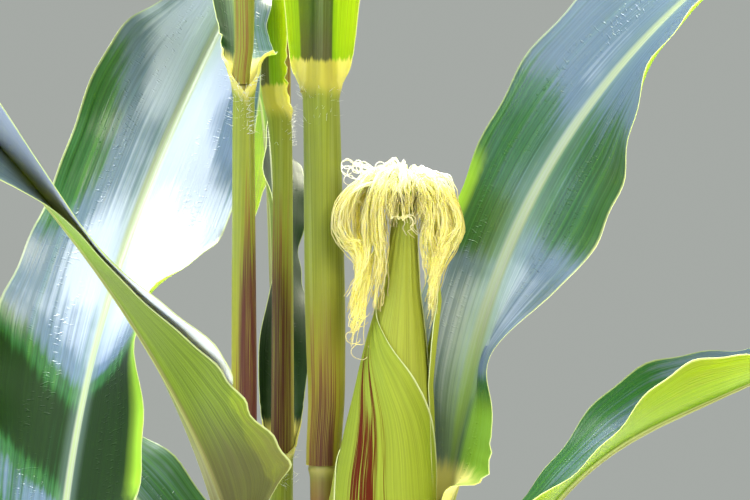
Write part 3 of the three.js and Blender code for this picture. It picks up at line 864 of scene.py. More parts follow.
class Shading(Nodes):
    """A material's nodes."""

    def __init__(self, name):
        self.material = bpy.data.materials.new(name)
        self.material.use_nodes = True
        super().__init__(self.material.node_tree)
        self.surface = self.tree.nodes["Principled BSDF"]

    def values(self, *names):
        """The values of these names that the mesh's points carry."""
        return [self.out("ShaderNodeAttribute", {}, "Fac", attribute_name=name) for name in names]

    def noise(self, scale, detail=3, roughness=0.55):
        """Noise over the piece's own space; scale is one number, or one for each axis."""
        place = self.out("ShaderNodeTexCoord", {}, "Object")
        if isinstance(scale, tuple):
            place = self.out("ShaderNodeVectorMath", {0: place, 1: scale}, operation="MULTIPLY")
            scale = 1
        return self.texture(place, scale, detail, roughness)

    def streaks(self, x, y=0, z=0, detail=2, roughness=0.55):
        """Noise over two scaled values; z keeps one such noise apart from another."""
        vector = self.out("ShaderNodeCombineXYZ", {0: x, 1: y, 2: z})
        return self.texture(vector, 1, detail, roughness)

    def texture(self, vector, scale, detail, roughness):
        inputs = {"Vector": vector, "Scale": scale, "Detail": detail, "Roughness": roughness}
        return self.out("ShaderNodeTexNoise", inputs, "Fac")

    def mix(self, share, a, b):
        return self.out("ShaderNodeMix", {0: share, 6: a, 7: b}, 2, data_type="RGBA")

    def coated(self, base, *coats):
        """A base colour under coats, each a share and a colour, the last one outermost."""
        for share, tone in coats:
            base = self.mix(share, base, tone)
        return base

    def finish(self, base, roughness, relief, **more):
        """The material, with a relief's height, strength and depth, and more inputs by name."""
        normal = self.out("ShaderNodeBump", dict(zip(("Height", "Strength", "Distance"), relief)))
        more = {"Base Color": base, "Roughness": roughness, "Normal": normal, **more}
        for key, value in more.items():
            self.feed(self.surface.inputs[key.replace("_", " ")], value)
        return self.material


def glow(weight):
    """Light that passes through a thin leaf."""
    return {
        "Subsurface_Weight": weight,
        "Subsurface_Radius": (0.9, 1.0, 0.25),
        "Subsurface_Scale": 0.006,
    }


def dim(tone, share):
    return tuple(part * share for part in tone)


# Materials. They read values that the meshes carry: across runs from -1 to 1 between a leaf's
# margins, and span is the same in metres; reach is the way from its collar, less than 0 on the
# sheath; rib is the way from the midrib's middle, in midribs; share runs along a husk and around
# about it.
def upper_material(colours, shady):
    """A blade's upper face with its glaucous wax and painted sheen and shade, glossy where it is
    green; a shady one reflects less.
    """
    shade = Shading("leaf_upper_shady" if shady else "leaf_upper")
    across, span, reach, rib = shade.values("across", "span", "reach", "rib")
    bloom, lit = shade.values("bloom", "lit")
    side = abs(across)
    fine = shade.streaks(across * 52, reach * 4)
    wide = shade.streaks(across * 9, reach * 2)
    broad = shade.noise(5.5, 2)
    bloom = bloom + broad * 0.75 + (shade.noise(26) - 0.7) * 0.5
    bloom = bloom + (shade.streaks(across * 22, reach * 3) - 0.5) * 0.75
    bloom = bloom + side.ramp(0.7, 0.25, 0, 0.14)
    pale = side.ramp(0.62, 0.02) * reach.ramp(0.2, 0.03) * fine.ramp(0.2, 0.8, 0.35, 0.75)
    start = reach + shade.streaks(across * 7) * -0.012
    midrib = shade.mix(fine.ramp(0.35, 0.65), Tone.midrib_groove, colours.midrib)
    base = shade.coated(
        dim(colours.leaf_upper, 0.55),
        (fine.ramp(0.3, 0.7), colours.leaf_upper),
        (wide.ramp(0.52, 0.7, 0, 0.5), Tone.wide_vein),
        # blue grey wax, partly a painted sky reflection; then painted bright sheen, painted white
        # highlights and painted shade
        (bloom.ramp(0.56, 0.98) * fine.ramp(0.2, 0.8, 0.6, 1) * 0.7, colours.leaf_bloom),
        (bloom.ramp(1.1, 1.6, 0, 0.6), Tone.bright_bloom),
        (bloom.ramp(2.2, 2.8, 0, 0.9), Tone.white_bloom),
        (bloom.ramp(0.3, -0.2, 0, 0.92), Tone.painted_deep_shade),
        (rib.ramp(4.2, 1.3, 0, 0.3), Tone.beside_midrib),
        (side.ramp(0.972, 0.992) * 0.55, Tone.upper_margin),
        (pale * bloom.ramp(0, 0.5), Tone.pale_foot),
        (lit * 0.85, Tone.lit),
        (
            rib.ramp(1.45, 0.55, 0, 0.94),
            shade.mix(reach.ramp(0.1, 0.045, 0, 0.8), midrib, Tone.midrib_foot),
        ),
        (start.ramp(0.009, -0.002) * side.ramp(0.95, 0.6, 0.35, 1), colours.collar),
    )
    patchy = shade.streaks(across * 6, reach * 28, 4)
    ticks = shade.streaks(span * 260, reach * 640, detail=1).ramp(0.56, 0.72)
    ticks = ticks * patchy.ramp(0.44, 0.6) * (side.ramp(0.26, 0.42) * side.ramp(0.78, 0.58))
    height = shade.streaks(span * 900, reach * 6) * 0.55 + wide * 0.9 + ticks * 1.1
    level = {"Specular_IOR_Level": 0.1} if shady else {"Sheen_Weight": 0.03}
    gloss = shade.mix(bloom.ramp(0.05, 0.75), *Tone.upper_gloss)
    rough = broad.ramp(0.3, 0.7, 0.27, 0.38) + bloom.ramp(0.6, -0.1, 0, 0.25)
    more = {"Specular_Tint": gloss, **level, **glow(0.05)}
    return shade.finish(base, rough, (height, 0.5, 0.0006), **more)


def under_material(colours, finish):
    """An under face; a dull one is older and darker; a sunny one has much light behind it, and its
    colour is dimmed as painted shade.
    """
    shade = Shading(f"leaf_under_{finish}")
    dull, sunny = finish == "dull", finish == "sunny"
    across, span, reach, rib, stain = shade.values("across", "span", "reach", "rib", "stain")
    side = abs(across)
    fine = shade.streaks(across * 44, reach * 4)
    blush = shade.streaks(across * 5, reach * 7, 2).ramp(0.56, 0.72) * fine.ramp(0.2, 0.7)
    # painted shadow of the stalk behind a backlit blade's foot, a little to one side of the middle
    thick = abs(across + 0.18).ramp(0.46, 0.4) * reach.ramp(0.12, 0.05, 0, 0.9)
    veined = fine.ramp(0.3, 0.7)
    aged = (reach.ramp(0.235, 0.265, 0.85, 0.1), shade.mix(veined, *Tone.aged))
    # a sunny blade's colour is dimmed: painted shade against the light behind it
    main = dim(colours.leaf_under, 0.62 if sunny else 1)
    blade = shade.coated(
        dim(main, 0.66),
        (fine.ramp(0.3, 0.72), main),
        *([aged] if dull else []),
        (blush * (0.6 if dull else 0.25), Tone.blush),
        (thick, shade.mix(reach.ramp(0.04, 0.014), *Tone.painted_stem_shadow)),
        *([(reach.ramp(0.165, 0.1, 0, 0.75), Tone.aged_foot)] if dull else []),
        (side.ramp(0.965, 0.99) * 0.6, Tone.under_margin),
        (
            rib.ramp(1.35, 0.8) * reach.ramp(0.03, 0.16, 0.15, 0.7),
            shade.mix(veined, *Tone.under_midrib),
        ),
    )
    stripes = shade.streaks(span * 1150, reach * 7, 0, 3, 0.6)
    broad = shade.streaks(span * 240, reach * 3, 5)
    lines = stripes * 1.2 + broad * 0.7 + stain * 0.42
    streak = lines.ramp(1, 1.3) * stain.ramp(0.01, 0.2, 0, 0.94)
    threads = shade.streaks(span * 2300, reach * 9, 8)
    threaded = streak * threads.ramp(0.62, 0.5, 0.35, 1)
    sheath = shade.coated(
        dim(colours.sheath, 0.74),
        (stripes.ramp(0.35, 0.68), colours.sheath),
        (broad.ramp(0.5, 0.7, 0, 0.4), Tone.pale_sheath),
        (reach.ramp(-0.07, -0.2, 0, 0.5), Tone.low_sheath),
        (
            shade.math("MAXIMUM", threaded, stain.ramp(1.5, 2.7, 0, 0.92)),
            shade.mix(stain.ramp(0.25, 0.85), Tone.faint_streak, colours.streak),
        ),
    )
    drift = shade.streaks(across * 9, 1)
    near = reach + (drift - 0.5) * 0.012
    below = near + side.ramp(0.55, 0.9, 0, 0.008)
    ring = shade.mix(side.ramp(0.35, 0.5), Tone.collar_middle, colours.collar)
    base = shade.coated(
        sheath,
        (reach.ramp(-0.003, 0.003), blade),
        (
            below.ramp(-0.011, -0.001) * near.ramp(0.0125, 0.0095) * 0.95,
            shade.mix(drift, Tone.collar_patch, ring),
        ),
    )
    rough = shade.noise(9, 2).ramp(0.3, 0.7, 0.38, 0.54)
    weight = {"dull": 0.15, "sunny": 0.35, "plain": 0.6}[finish]
    gloss = (0.62, 0.66, 0.06 if sunny else 0.3)
    height = fine * 0.8 + stripes * 0.8
    relief = (height, 0.55, 0.0006)
    return shade.finish(base, rough, relief, Specular_Tint=gloss, **glow(weight))


def stalk_material(colours):
    shade = Shading("stalk")
    stripes, patch = shade.noise((420, 420, 7), 3, 0.6), shade.noise((30, 30, 9))
    node, below = shade.values("node", "below")
    base = shade.coated(
        dim(colours.stalk, 0.7),
        (stripes.ramp(0.3, 0.7), colours.stalk),
        (patch.ramp(0.35, 0.65) * below * 0.85, Tone.sunburn),
        (node, Tone.joint),
    )
    return shade.finish(base, patch.ramp(0.3, 0.7, 0.35, 0.5), (stripes, 0.4, 0.0005))


def root_material():
    shade = Shading("brace_root")
    patch = shade.noise((60, 60, 40), 4)
    base = shade.mix(patch.ramp(0.3, 0.7), *Tone.root)
    return shade.finish(base, 0.6, (patch, 0.5, 0.0008))


def husk_material(name, main):
    shade = Shading(name)
    across, around, share, stain = shade.values("across", "around", "share", "stain")
    lines = shade.streaks(around * 30, share * 2.2, 0, 4, 0.6)
    streaks = shade.streaks(around * 13, share * 1.1, 3, 3, 0.6)
    threads = shade.streaks(around * 62, share * 5, 7)
    marks = streaks * 0.7 + threads * 1.1 + stain * 0.34
    streak = marks.ramp(1, 1.16) * stain.ramp(0.08, 0.5, 0, 0.97)
    base = shade.coated(
        dim(main, 0.72),
        (lines.ramp(0.3, 0.72), main),
        (streak, shade.mix(threads, *Tone.husk_streak)),
        (abs(across).ramp(0.965, 0.995) * 0.75, Tone.husk_margin),
    )
    gloss = shade.mix(streak, *Tone.husk_gloss)
    return shade.finish(base, 0.5, (lines, 0.6, 0.0005), Specular_Tint=gloss, **glow(0.3))


def strand_material(colours):
    shade = Shading("silk_strand")
    rise, own = shade.values("painted_top_light", "own")
    patch = shade.noise(90, 2)
    base = shade.coated(
        Tone.strand,
        (own, colours.silk),
        # painted shade low on the strands, and a painted highlight high over the ear's tip
        (rise.ramp(0.2, 0, 0, 0.16), Tone.painted_low_shade),
        (rise * patch.ramp(0.25, 0.6, 0.5, 1), colours.silk_painted_highlight),
    )
    shade.surface.subsurface_method = "BURLEY"
    return shade.finish(base, 0.4, (patch, 0.1, 0.0002), **glow(0.62))


def tassel_material(colours):
    shade = Shading("tassel")
    patch = shade.noise(160)
    base = shade.mix(patch.ramp(0.3, 0.7), colours.tassel, Tone.dry_tassel)
    return shade.finish(base, 0.62, (patch, 0.4, 0.0003))


def hair_material(colours):
    shade = Shading("hair")
    patch = shade.noise(300, 1)
    base = shade.mix(patch, colours.hair, dim(colours.hair, 0.85))
    return shade.finish(base, 0.5, (patch, 0.1, 0.0001))


# Geometry Nodes.
class Growing(Nodes):
    """A Geometry Nodes tree that is used through one modifier."""

    def __init__(self, name):
        super().__init__(bpy.data.node_groups.new(name, "GeometryNodeTree"))
        for way in ("INPUT", "OUTPUT"):
            self.tree.interface.new_socket(
                "Geometry", in_out=way, socket_type="NodeSocketGeometry"
            )
        self.source = self.tree.nodes.new("NodeGroupInput")
        self.values = {}

    def size(self, name, value, kind="NodeSocketFloat"):
        """A named input of the tree, with the value that the modifier gives it."""
        socket = self.tree.interface.new_socket(name, in_out="INPUT", socket_type=kind)
        self.values[socket.identifier] = value
        return Signal(self, self.source.outputs[name])

    def geometry(self):
        return Signal(self, self.source.outputs["Geometry"])

    def ball(self, segments, rings, place, radii):
        inputs = {"Segments": segments, "Rings": rings, "Radius": 1}
        sphere = self.out("GeometryNodeMeshUVSphere", inputs)
        inputs = {"Geometry": sphere, "Translation": place, "Scale": radii}
        return self.out("GeometryNodeTransform", inputs)

    def spread(self, points, instance, rotation, **more):
        """An instance turned on each point."""
        inputs = {"Points": points, "Instance": instance, "Rotation": rotation, **more}
        return self.out("GeometryNodeInstanceOnPoints", inputs)

    def aimed(self, vector):
        """A rotation that brings z to a vector."""
        return self.out("FunctionNodeAlignRotationToVector", {"Vector": vector}, axis="Z")

    def turned(self, axis, angle):
        inputs = {"Axis": axis, "Angle": angle}
        return self.out("FunctionNodeAxisAngleToRotation", inputs)

    def both(self, first, second):
        """One rotation, then another in its own axes."""
        return self.out("FunctionNodeRotateRotation", {0: first, 1: second}, rotation_space="LOCAL")

    def grown(self, name, paths, values, geometry, material):
        """An object with the plain mesh that the tree makes on open paths or single points."""
        held = self.size("Material", material, "NodeSocketMaterial")
        real = self.out("GeometryNodeRealizeInstances", {0: geometry})
        smooth_faces = self.out("GeometryNodeSetShadeSmooth", {0: real})
        dressed = self.out("GeometryNodeSetMaterial", {"Geometry": smooth_faces, "Material": held})
        self.feed(self.tree.nodes.new("NodeGroupOutput").inputs[0], dressed)
        edges, base = [], 0
        for path in paths:
            edges += [(base + i, base + i + 1) for i in range(len(path) - 1)]
            base += len(path)
        points = np.concatenate([np.asarray(path, float) for path in paths])
        carrier = linked(name, new_mesh(name, points, (), edges, values))
        modifier = carrier.modifiers.new(name, "NODES")
        modifier.node_group = self.tree
        for identifier, value in self.values.items():
            modifier[identifier] = value
        graph = bpy.context.evaluated_depsgraph_get()
        mesh = bpy.data.meshes.new_from_object(carrier.evaluated_get(graph))
        mesh.name = name
        carrier.modifiers.remove(modifier)
        bpy.data.objects.remove(carrier)
        if not mesh.polygons:
            raise RuntimeError(f"{name} grew no faces")
        return linked(name, mesh)


def smooth_path(points, count):
    """A Catmull-Rom path through points, as count points."""
    p = np.asarray(points, float)
    p = np.concatenate([[2 * p[0] - p[1]], p, [2 * p[-1] - p[-2]]])
    u = np.linspace(0, len(p) - 3 - 1e-9, count)
    i = u.astype(int)
    v = (u - i)[:, None]
    a, b, c, d = p[i], p[i + 1], p[i + 2], p[i + 3]
    return 0.5 * (
        2 * b + (c - a) * v + (2 * a - 5 * b + 4 * c - d) * v**2 + (3 * b - a - 3 * c + d) * v**3
    )


# Pieces.
def culm_mesh(name, stem, leaves):
    """A stalk with swollen joints, pale on and just over each."""
    feet = [sheath_foot(leaves, i) - SHEATH_LIFT for i in range(len(leaves))]
    joints = np.array([*stem["bare_nodes"], *feet])
    even = np.linspace(0, stem["top"], CULM_ROWS)
    heights = [FOOT_ROWS, even, (joints[:, None] + JOINT_ROWS).ravel()]
    heights = np.unique(np.clip(np.concatenate(heights), 0, stem["top"]))
    angles = np.linspace(0, 2 * math.pi, CULM_SIDES, endpoint=False)
    node = bell(heights, joints[:, None], PALE_REACH).max(axis=0)
    swell = (NODE_SWELL * bell(heights, joints[:, None], NODE_REACH)).sum(axis=0)
    ring = culm_radius(stem, heights) + swell
    if stem is STEMS["main"]:
        ring += ROOT_FLARE * np.exp(-heights / FLARE_REACH)
    relief = 1 + 0.012 * np.sin(angles * 7 + heights[:, None] * 60) * (1 - node[:, None])
    way = np.stack([np.cos(angles), np.sin(angles), np.zeros_like(angles)], axis=-1)
    points = axis_at(stem, heights)[:, None] + (ring[:, None] * relief)[..., None] * way
    below = np.maximum(1 - smooth(heights, *SUNNY), 0.25)
    values = {"node": np.repeat(node, CULM_SIDES), "below": np.repeat(below, CULM_SIDES)}
    faces = tube_faces(len(heights), CULM_SIDES)
    return new_mesh(name, points.reshape(-1, 3), faces, (), values, TUBE_SHARP)


def brace_mesh():
    """Brace roots from the second joint to the ground, a little thinner at their feet."""
    reach, top = BRACE["reach"], BRACE["from"]
    bends = ((0.006, top), (reach * 0.6, top * 0.72), (reach * 0.94, 0.0))
    paths = []
    for k in range(BRACE["count"]):
        if k not in BRACE["skip"]:
            way = 2 * math.pi * k / BRACE["count"] + math.radians(BRACE["start"])
            points = [(math.cos(way) * out, math.sin(way) * out, z) for out, z in bends]
            paths.append(smooth_path(points, BRACE_ROWS))
    radius = BRACE["radius"] * (1 - 0.12 * np.linspace(0, 1, BRACE_ROWS))
    return tube_mesh("brace_roots", paths, [radius] * len(paths), 12)


def ear_axis(z):
    x, y, places = np.array(EAR_AXIS).T
    share = (z - places[0]) / (places[-1] - places[0])
    places = (places - places[0]) / (places[-1] - places[0])
    return np.stack([eased(places, x, share), eased(places, y, share), z], axis=-1)


def ear_radius(share):
    return eased(np.linspace(0, 1, len(EAR_RADII)), EAR_RADII, share)


def husk_mesh(husk):
    """One husk: a shell round the ear between two margins that meet at its tip."""
    share = (husk["tip"] * (1 - (1 - np.linspace(0, 1, HUSK_ROWS)) ** 1.4))[:, None]
    t = np.linspace(-1, 1, HUSK_COLUMNS)[None, :]
    left, right = (eased(*zip(*husk[side]), share) for side in ("left", "right"))
    left = np.minimum(left, right - HUSK_LEAST)
    around = np.radians(lerp(left, right, (t + 1) / 2))
    centre = ear_axis(lerp(EAR_AXIS[0][2], EAR_AXIS[-1][2], share[:, 0]))[:, None]
    radius = ear_radius(share) + HUSK_STEP * husk["layer"]
    if husk["stand"]:
        radius = radius + np.interp(share, *zip(*husk["stand"]))
    ribs = 0.00016 * np.sin(t * 95 + 3 * husk["layer"]) + 0.00022 * np.sin(t * 31 + 2)
    lift = 0.0004 * np.abs(t) ** 10 * smooth(share, 0.3, 0.6)
    radius = np.maximum(radius + (ribs + lift) * smooth(share, 0.02, 0.2), 0.001)
    bearing = around - math.pi / 2
    way = np.stack([np.cos(bearing), np.sin(bearing), np.zeros_like(bearing)], axis=-1)
    outer = centre + way * (radius + HUSK_WALL / 2)[..., None]
    inner = centre + way * (radius - HUSK_WALL / 2)[..., None]
    stain = np.zeros_like(around)
    if husk["name"] == "outer":
        for k, (place, width, much) in enumerate(HUSK_STRIPS):
            fade = smooth(share, 0.66, 0.55) if k == LOW_STRIP else 1
            stain = stain + much * fade * bell(t, place, width)
        stain = stain * smooth(share, 0.79, 0.7)
    values = {
        "around": np.broadcast_to(t * 2.4, around.shape),
        "share": np.broadcast_to(share, around.shape),
        "across": np.broadcast_to(t, around.shape),
        "stain": stain,
    }
    flipped = {key: value[:, ::-1] for key, value in values.items()}
    return shell_mesh(f"husk_{husk['name']}", outer[:, ::-1], inner[:, ::-1], flipped)


def lock_guides(rng):
    """Paths in the middle of the silk's locks, each with the number of its strands."""
    guides = []

    def add(count, points, spread):
        guides.append((count, np.array(points, float), spread))

    for k in range(64):
        way = GOLDEN * k + rng.uniform(-0.2, 0.2)
        reach = rng.uniform(7, 28)
        high = (rng.uniform(14, 24) - 0.15 * reach) * (1 - 0.22 * max(0.0, math.cos(way)))
        front = max(0.0, -math.sin(way)) ** 2
        fall = rng.uniform(8, 26) * (1 - 0.5 * front)
        x, y = math.cos(way) * reach * 1.12, math.sin(way) * reach * 0.72
        curl = rng.uniform(-4, 4)
        add(8, [
            (0, 0, -6), (x * 0.2, y * 0.2, high * 0.72), (x * 0.55, y * 0.55, high),
            (x * 0.88, y * 0.88, high * 0.78), (x * 1.04, y * 1.04, high * 0.6 - fall * 0.5),
            (x * 0.98 + curl, y, high * 0.5 - fall),
        ], 2.6)
    for k in range(30):
        way = math.radians(-158 + 136 * k / 29)
        reach = rng.uniform(7, 15)
        x, y = math.cos(way) * reach * 1.3, math.sin(way) * reach
        high, low = rng.uniform(6, 17), rng.uniform(-13, -3)
        add(9, [
            (0, 0, -3), (x * 0.3, y * 0.4, high * 0.8), (x * 0.7, y * 0.8, high),
            (x + rng.uniform(-3, 3), y * 1.02, high * 0.55), (x + rng.uniform(-4, 4), y, low),
        ], 2.4)
    for k in range(24):
        size = 1.02 - 0.66 * (k / 23) ** 1.4 + rng.uniform(-0.04, 0.04)
        y = rng.uniform(-13, 7)
        end = rng.uniform(0.6, 1.0)
        top = rng.uniform(9, 17)
        add(8, [
            (-1, 0, -6), (-11 * size, y * 0.5, top), (-24 * size, y, top * 0.8),
            (-33 * size, y, 2 - 3 * size), (-35.5 * size, y, -5 - 8 * size),
            (-29 * size - 3, y * 0.6 - 3, -22), (-13 - 12 * size, -6, -36 * end),
            (-16 - 8 * size, -8, -48 * end), (-20 - 5 * size, -10, -62 * end),
            (-28, -11, -78 * end),
        ], 1.9)
    for k in range(24):
        size = 1.02 - 0.7 * (k / 23) ** 1.4 + rng.uniform(-0.04, 0.04)
        y = rng.uniform(-13, 7)
        end = rng.uniform(0.66, 1.0)
        top = rng.uniform(4, 11)
        add(8, [
            (1, 0, -6), (10 * size, y * 0.5, top), (21 * size, y, top * 0.8),
            (27.5 * size, y, -3 * size), (30 * size, y, -5 - 8 * size),
            (25 * size + 3, y * 0.6 - 3, -23 * end), (12 + 9 * size, -6, -36 * end),
            (13 + 4 * size, -8, -46 * end), (15.5, -9, -57 * end), (14, -10, -67 * end),
        ], 1.8)
    for side, many, fall in ((-1, 16, 62), (1, 11, 46)):
        for k in range(many):
            out, y = rng.uniform(11, 16), rng.uniform(-12, -4)
            low = -fall * rng.uniform(0.55, 1.0)
            add(7, [
                (side, 0, -5), (side * out * 0.5, y * 0.6, 9), (side * out, y, 3),
                (side * (out + 1), y, low * 0.3), (side * (out - 1), y - 1, low * 0.6),
                (side * (out + rng.uniform(0, 3)), y - 1, low),
            ], 1.8)
    for k in range(12):
        x, z, size = rng.uniform(-31, -12), rng.uniform(9, 20), rng.uniform(2.2, 4.2)
        ring = np.linspace(0.3, 0.3 + rng.uniform(4.2, 6.6), 9)
        loop = [(x + size * math.cos(a), rng.uniform(-8, -4), z + size * math.sin(a)) for a in ring]
        add(1, [(-4, -2, 4), (x * 0.6, -4, z * 0.9), *loop], 0.4)
    for k in range(9):
        x, z, size = rng.uniform(-29, -22), rng.uniform(-84, -56), rng.uniform(2.5, 4.5)
        ring = np.linspace(1.2, 1.2 + rng.uniform(3.2, 6.0), 8)
        loop = [(x + size * math.cos(a), -10, z + size * math.sin(a)) for a in ring]
        add(1, [(-20, -9, z + 22), (-21, -10, z + 10), *loop], 0.4)
    for k in range(4):
        x, size = rng.uniform(-8, 3), rng.uniform(2.5, 4.5)
        ring = np.linspace(2.6, -rng.uniform(0.2, 1.6), 7)
        loop = [(x + 3 + size * math.cos(a), -17, -12 + size * math.sin(a)) for a in ring]
        add(1, [(x, -6, -1), *loop, (x + 9, -15, -19)], 0.4)
    return guides


def strand_paths(sizes):
    """Silk strands spread about the guides of their locks, with a painted top light for every
    point.
    """
    rng = np.random.default_rng(SILK_SEED)
    root = np.array(SILK_ROOT)
    guides = lock_guides(rng)
    share = sizes.strands / sum(count for count, _, _ in guides)
    paths, pale, own = [], [], []
    for count, points, spread in guides:
        many = max(1, round(count * share)) if count > 1 else 1
        for _ in range(many):
            grow = np.linspace(0.35, 1, len(points))[:, None]
            drift = rng.normal(0, spread * 0.5, 3) * grow
            wander = rng.normal(0, spread * 0.28, (len(points), 3)) * grow
            strand = (points + drift + wander) * (1 + rng.normal(0, 0.025))
            keep = strand[: max(4, len(points) - int(rng.integers(0, 2)) * (count > 1))]
            path = root + smooth_path(keep, 30) * MM
            paths.append(path)
            # painted top light: the higher a point over the ear's tip, the paler
            pale.append(smooth(path[:, 2], root[2] + 0.002, root[2] + 0.017))
            own.append(np.full(len(path), rng.random()))
    return paths, {"painted_top_light": np.concatenate(pale), "own": np.concatenate(own)}


def grow_strands(name, paths, values, radius, curl, material):
    """Strands along paths, each with a curl of its own and thinner to its tip."""
    tree = Growing("silk_growth")
    size, wander = tree.size("Radius", radius), tree.size("Curl", curl)
    curve = tree.out("GeometryNodeMeshToCurve", {0: tree.geometry()})
    curve = tree.out("GeometryNodeResampleCurve", {"Curve": curve, "Count": STRAND_POINTS})
    along = tree.out("GeometryNodeSplineParameter", {}, "Factor")
    number = tree.math("DIVIDE", tree.out("GeometryNodeInputIndex", {}), STRAND_POINTS)
    place = tree.out("GeometryNodeInputPosition", {})
    inputs = {"Vector": place, "W": tree.math("FLOOR", number), "Scale": 85, "Detail": 2}
    noise = tree.out("ShaderNodeTexNoise", inputs, "Color", noise_dimensions="4D")
    middle = (0.5, 0.5, 0.5)
    centred = tree.out("ShaderNodeVectorMath", {0: noise, 1: middle}, operation="SUBTRACT")
    inputs = {0: centred, "Scale": along * wander}
    offset = tree.out("ShaderNodeVectorMath", inputs, operation="SCALE")
    curve = tree.out("GeometryNodeSetPosition", {"Geometry": curve, "Offset": offset})
    thick = tree.out("ShaderNodeMapRange", {0: along, 3: 1, 4: 0.55}) * size
    curve = tree.out("GeometryNodeSetCurveRadius", {"Curve": curve, "Radius": thick})
    profile = tree.out("GeometryNodeCurvePrimitiveCircle", {"Resolution": 4, "Radius": 1})
    inputs = {"Curve": curve, "Profile Curve": profile, "Scale": thick, "Fill Caps": True}
    strands = tree.out("GeometryNodeCurveToMesh", inputs)
    return tree.grown(name, paths, values, strands, material)


def tassel_paths(stem, spec):
    """A tassel's spike and branches, as the solids have them."""
    foot = axis_at(stem, stem["top"] + CULM_CLEAR)
    paths = [np.linspace(foot, foot + [0, 0, spec["spike"]], SPIKE_ROWS)]
    for k in range(spec["branches"]):
        share = k / (spec["branches"] - 1)
        reach = spec["reach"] * lerp(1, 0.72, share)
        start = foot + [0, 0, lerp(spec["first"], spec["last"], share)]
        turn = np.array([math.cos(GOLDEN * k), math.sin(GOLDEN * k), 0])
        points = [start + turn * a * reach + np.array([0, 0, b * reach]) for a, b in BRANCH_BENDS]
        paths.append(smooth_path(points, BRANCH_ROWS))
    return paths


def grow_spikelets(name, paths, gap, material):
    """Spikelets round every tassel branch, with anthers that hang from some."""
    tree = Growing(f"{name}_growth")
    spacing = tree.size("Gap", gap)
    curve = tree.out("GeometryNodeMeshToCurve", {0: tree.geometry()})
    inputs = {"Curve": curve, "Length": spacing}
    points = tree.out("GeometryNodeCurveToPoints", inputs, mode="LENGTH")
    tangent = Signal(tree, points.socket.node.outputs["Tangent"])
    turn = tree.turned((0, 0, 1), tree.out("GeometryNodeInputIndex", {}) * GOLDEN)
    leaning = tree.both(turn, tree.turned((1, 0, 0), SPIKELET_LEAN))
    grain = tree.ball(6, 5, (0, 0.0011, 0.0042), (0.0012, 0.0009, 0.0044))
    grains = tree.spread(points, grain, tree.both(tree.aimed(tangent), leaning))
    inputs = {"Probability": 0.22, "Seed": 5}
    some = tree.out("FunctionNodeRandomValue", inputs, 3, data_type="BOOLEAN")
    anther = tree.ball(5, 4, (0.0022, 0, -0.0055), (0.0006, 0.0006, 0.0028))
    hung = tree.spread(points, anther, turn, Selection=some)
    joined = tree.out("GeometryNodeJoinGeometry", {0: grains})
    tree.feed(joined.socket.node.inputs[0], hung)
    return tree.grown(name, paths, {}, joined, material)


def grow_hairs(name, roots, ways, length, material):
    """Fine hairs that stand on given points in given directions."""
    tree = Growing(f"{name}_growth")
    tall = tree.size("Length", length)
    inputs = {"Name": "way"}
    way = tree.out("GeometryNodeInputNamedAttribute", inputs, data_type="FLOAT_VECTOR")
    inputs = {2: 0.45, 3: 1, "Seed": 3}
    grow = tree.out("FunctionNodeRandomValue", inputs, 1, data_type="FLOAT")
    inputs = {"Vertices": 4, "Radius Top": 0, "Radius Bottom": 0.022, "Depth": 1}
    cone = tree.out("GeometryNodeMeshCone", inputs)
    hairs = tree.spread(tree.geometry(), cone, tree.aimed(way), Scale=grow * tall)
    return tree.grown(name, [[root] for root in roots], {"way": ways}, hairs, material)


def collar_hairs(key, index):
    """Places and directions of the hairs below a collar, on the sheath's outer face and margins."""
    stem, leaves = STEMS[key], LEAVES[key]
    _, under, values = leaf_shell(stem, leaves, index)
    reach = values["reach"][:, 0]
    rows = np.where((reach > HAIR_ZONE[0]) & (reach < HAIR_ZONE[1]))[0]
    rng = np.random.default_rng(HAIR_SEED + index)
    roots, ways = [], []
    cols = under.shape[1]
    for _ in range(HAIRS):
        row = rng.choice(rows)
        margin = rng.random() < 0.6
        col = int(rng.choice([0, 1, cols - 2, cols - 1])) if margin else int(rng.integers(0, cols))
        root = under[row, col]
        axis = axis_at(stem, root[2])
        out = unit((root - axis) * (1, 1, 0))
        way = out + rng.normal(0, 0.35, 3) + np.array([0, 0, rng.uniform(-0.1, 0.6)])
        roots.append(root - out * 0.0001)
        ways.append(unit(way))
    return roots, ways


# Operators.
class MAIZE_OT_stalks(bpy.types.Operator):
    """Grow the three stalks and the brace roots"""

    bl_idname = "maize.stalks"
    bl_label = "Stalks"

    def execute(self, context):
        material = stalk_material(context.scene.maize_colours)
        for key, stem in STEMS.items():
            piece = placed(culm_mesh(f"{key}_culm", stem, LEAVES[key]), material)
            finish_piece(piece, "stalk", f"{key}_stalk")
        finish_piece(placed(brace_mesh(), root_material()), "stalk")
        return {"FINISHED"}


class MAIZE_OT_leaves(bpy.types.Operator):
    """Grow every leaf with its sheath"""

    bl_idname = "maize.leaves"
    bl_label = "Leaves"

    def execute(self, context):
        colours = context.scene.maize_colours
        uppers = {shady: upper_material(colours, shady) for shady in (False, True)}
        unders = {kind: under_material(colours, kind) for kind in ("plain", "dull", "sunny")}
        for key, stem in STEMS.items():
            for index, sizes in enumerate(LEAVES[key]):
                node = f"{key}_leaf_{index + 1:02d}"
                mesh = shell_mesh(f"{node}_fine", *leaf_shell(stem, LEAVES[key], index))
                piece = placed(mesh, uppers[sizes["shady"]], unders[sizes["finish"]])
                finish_piece(piece, "leaf", node)
        return {"FINISHED"}


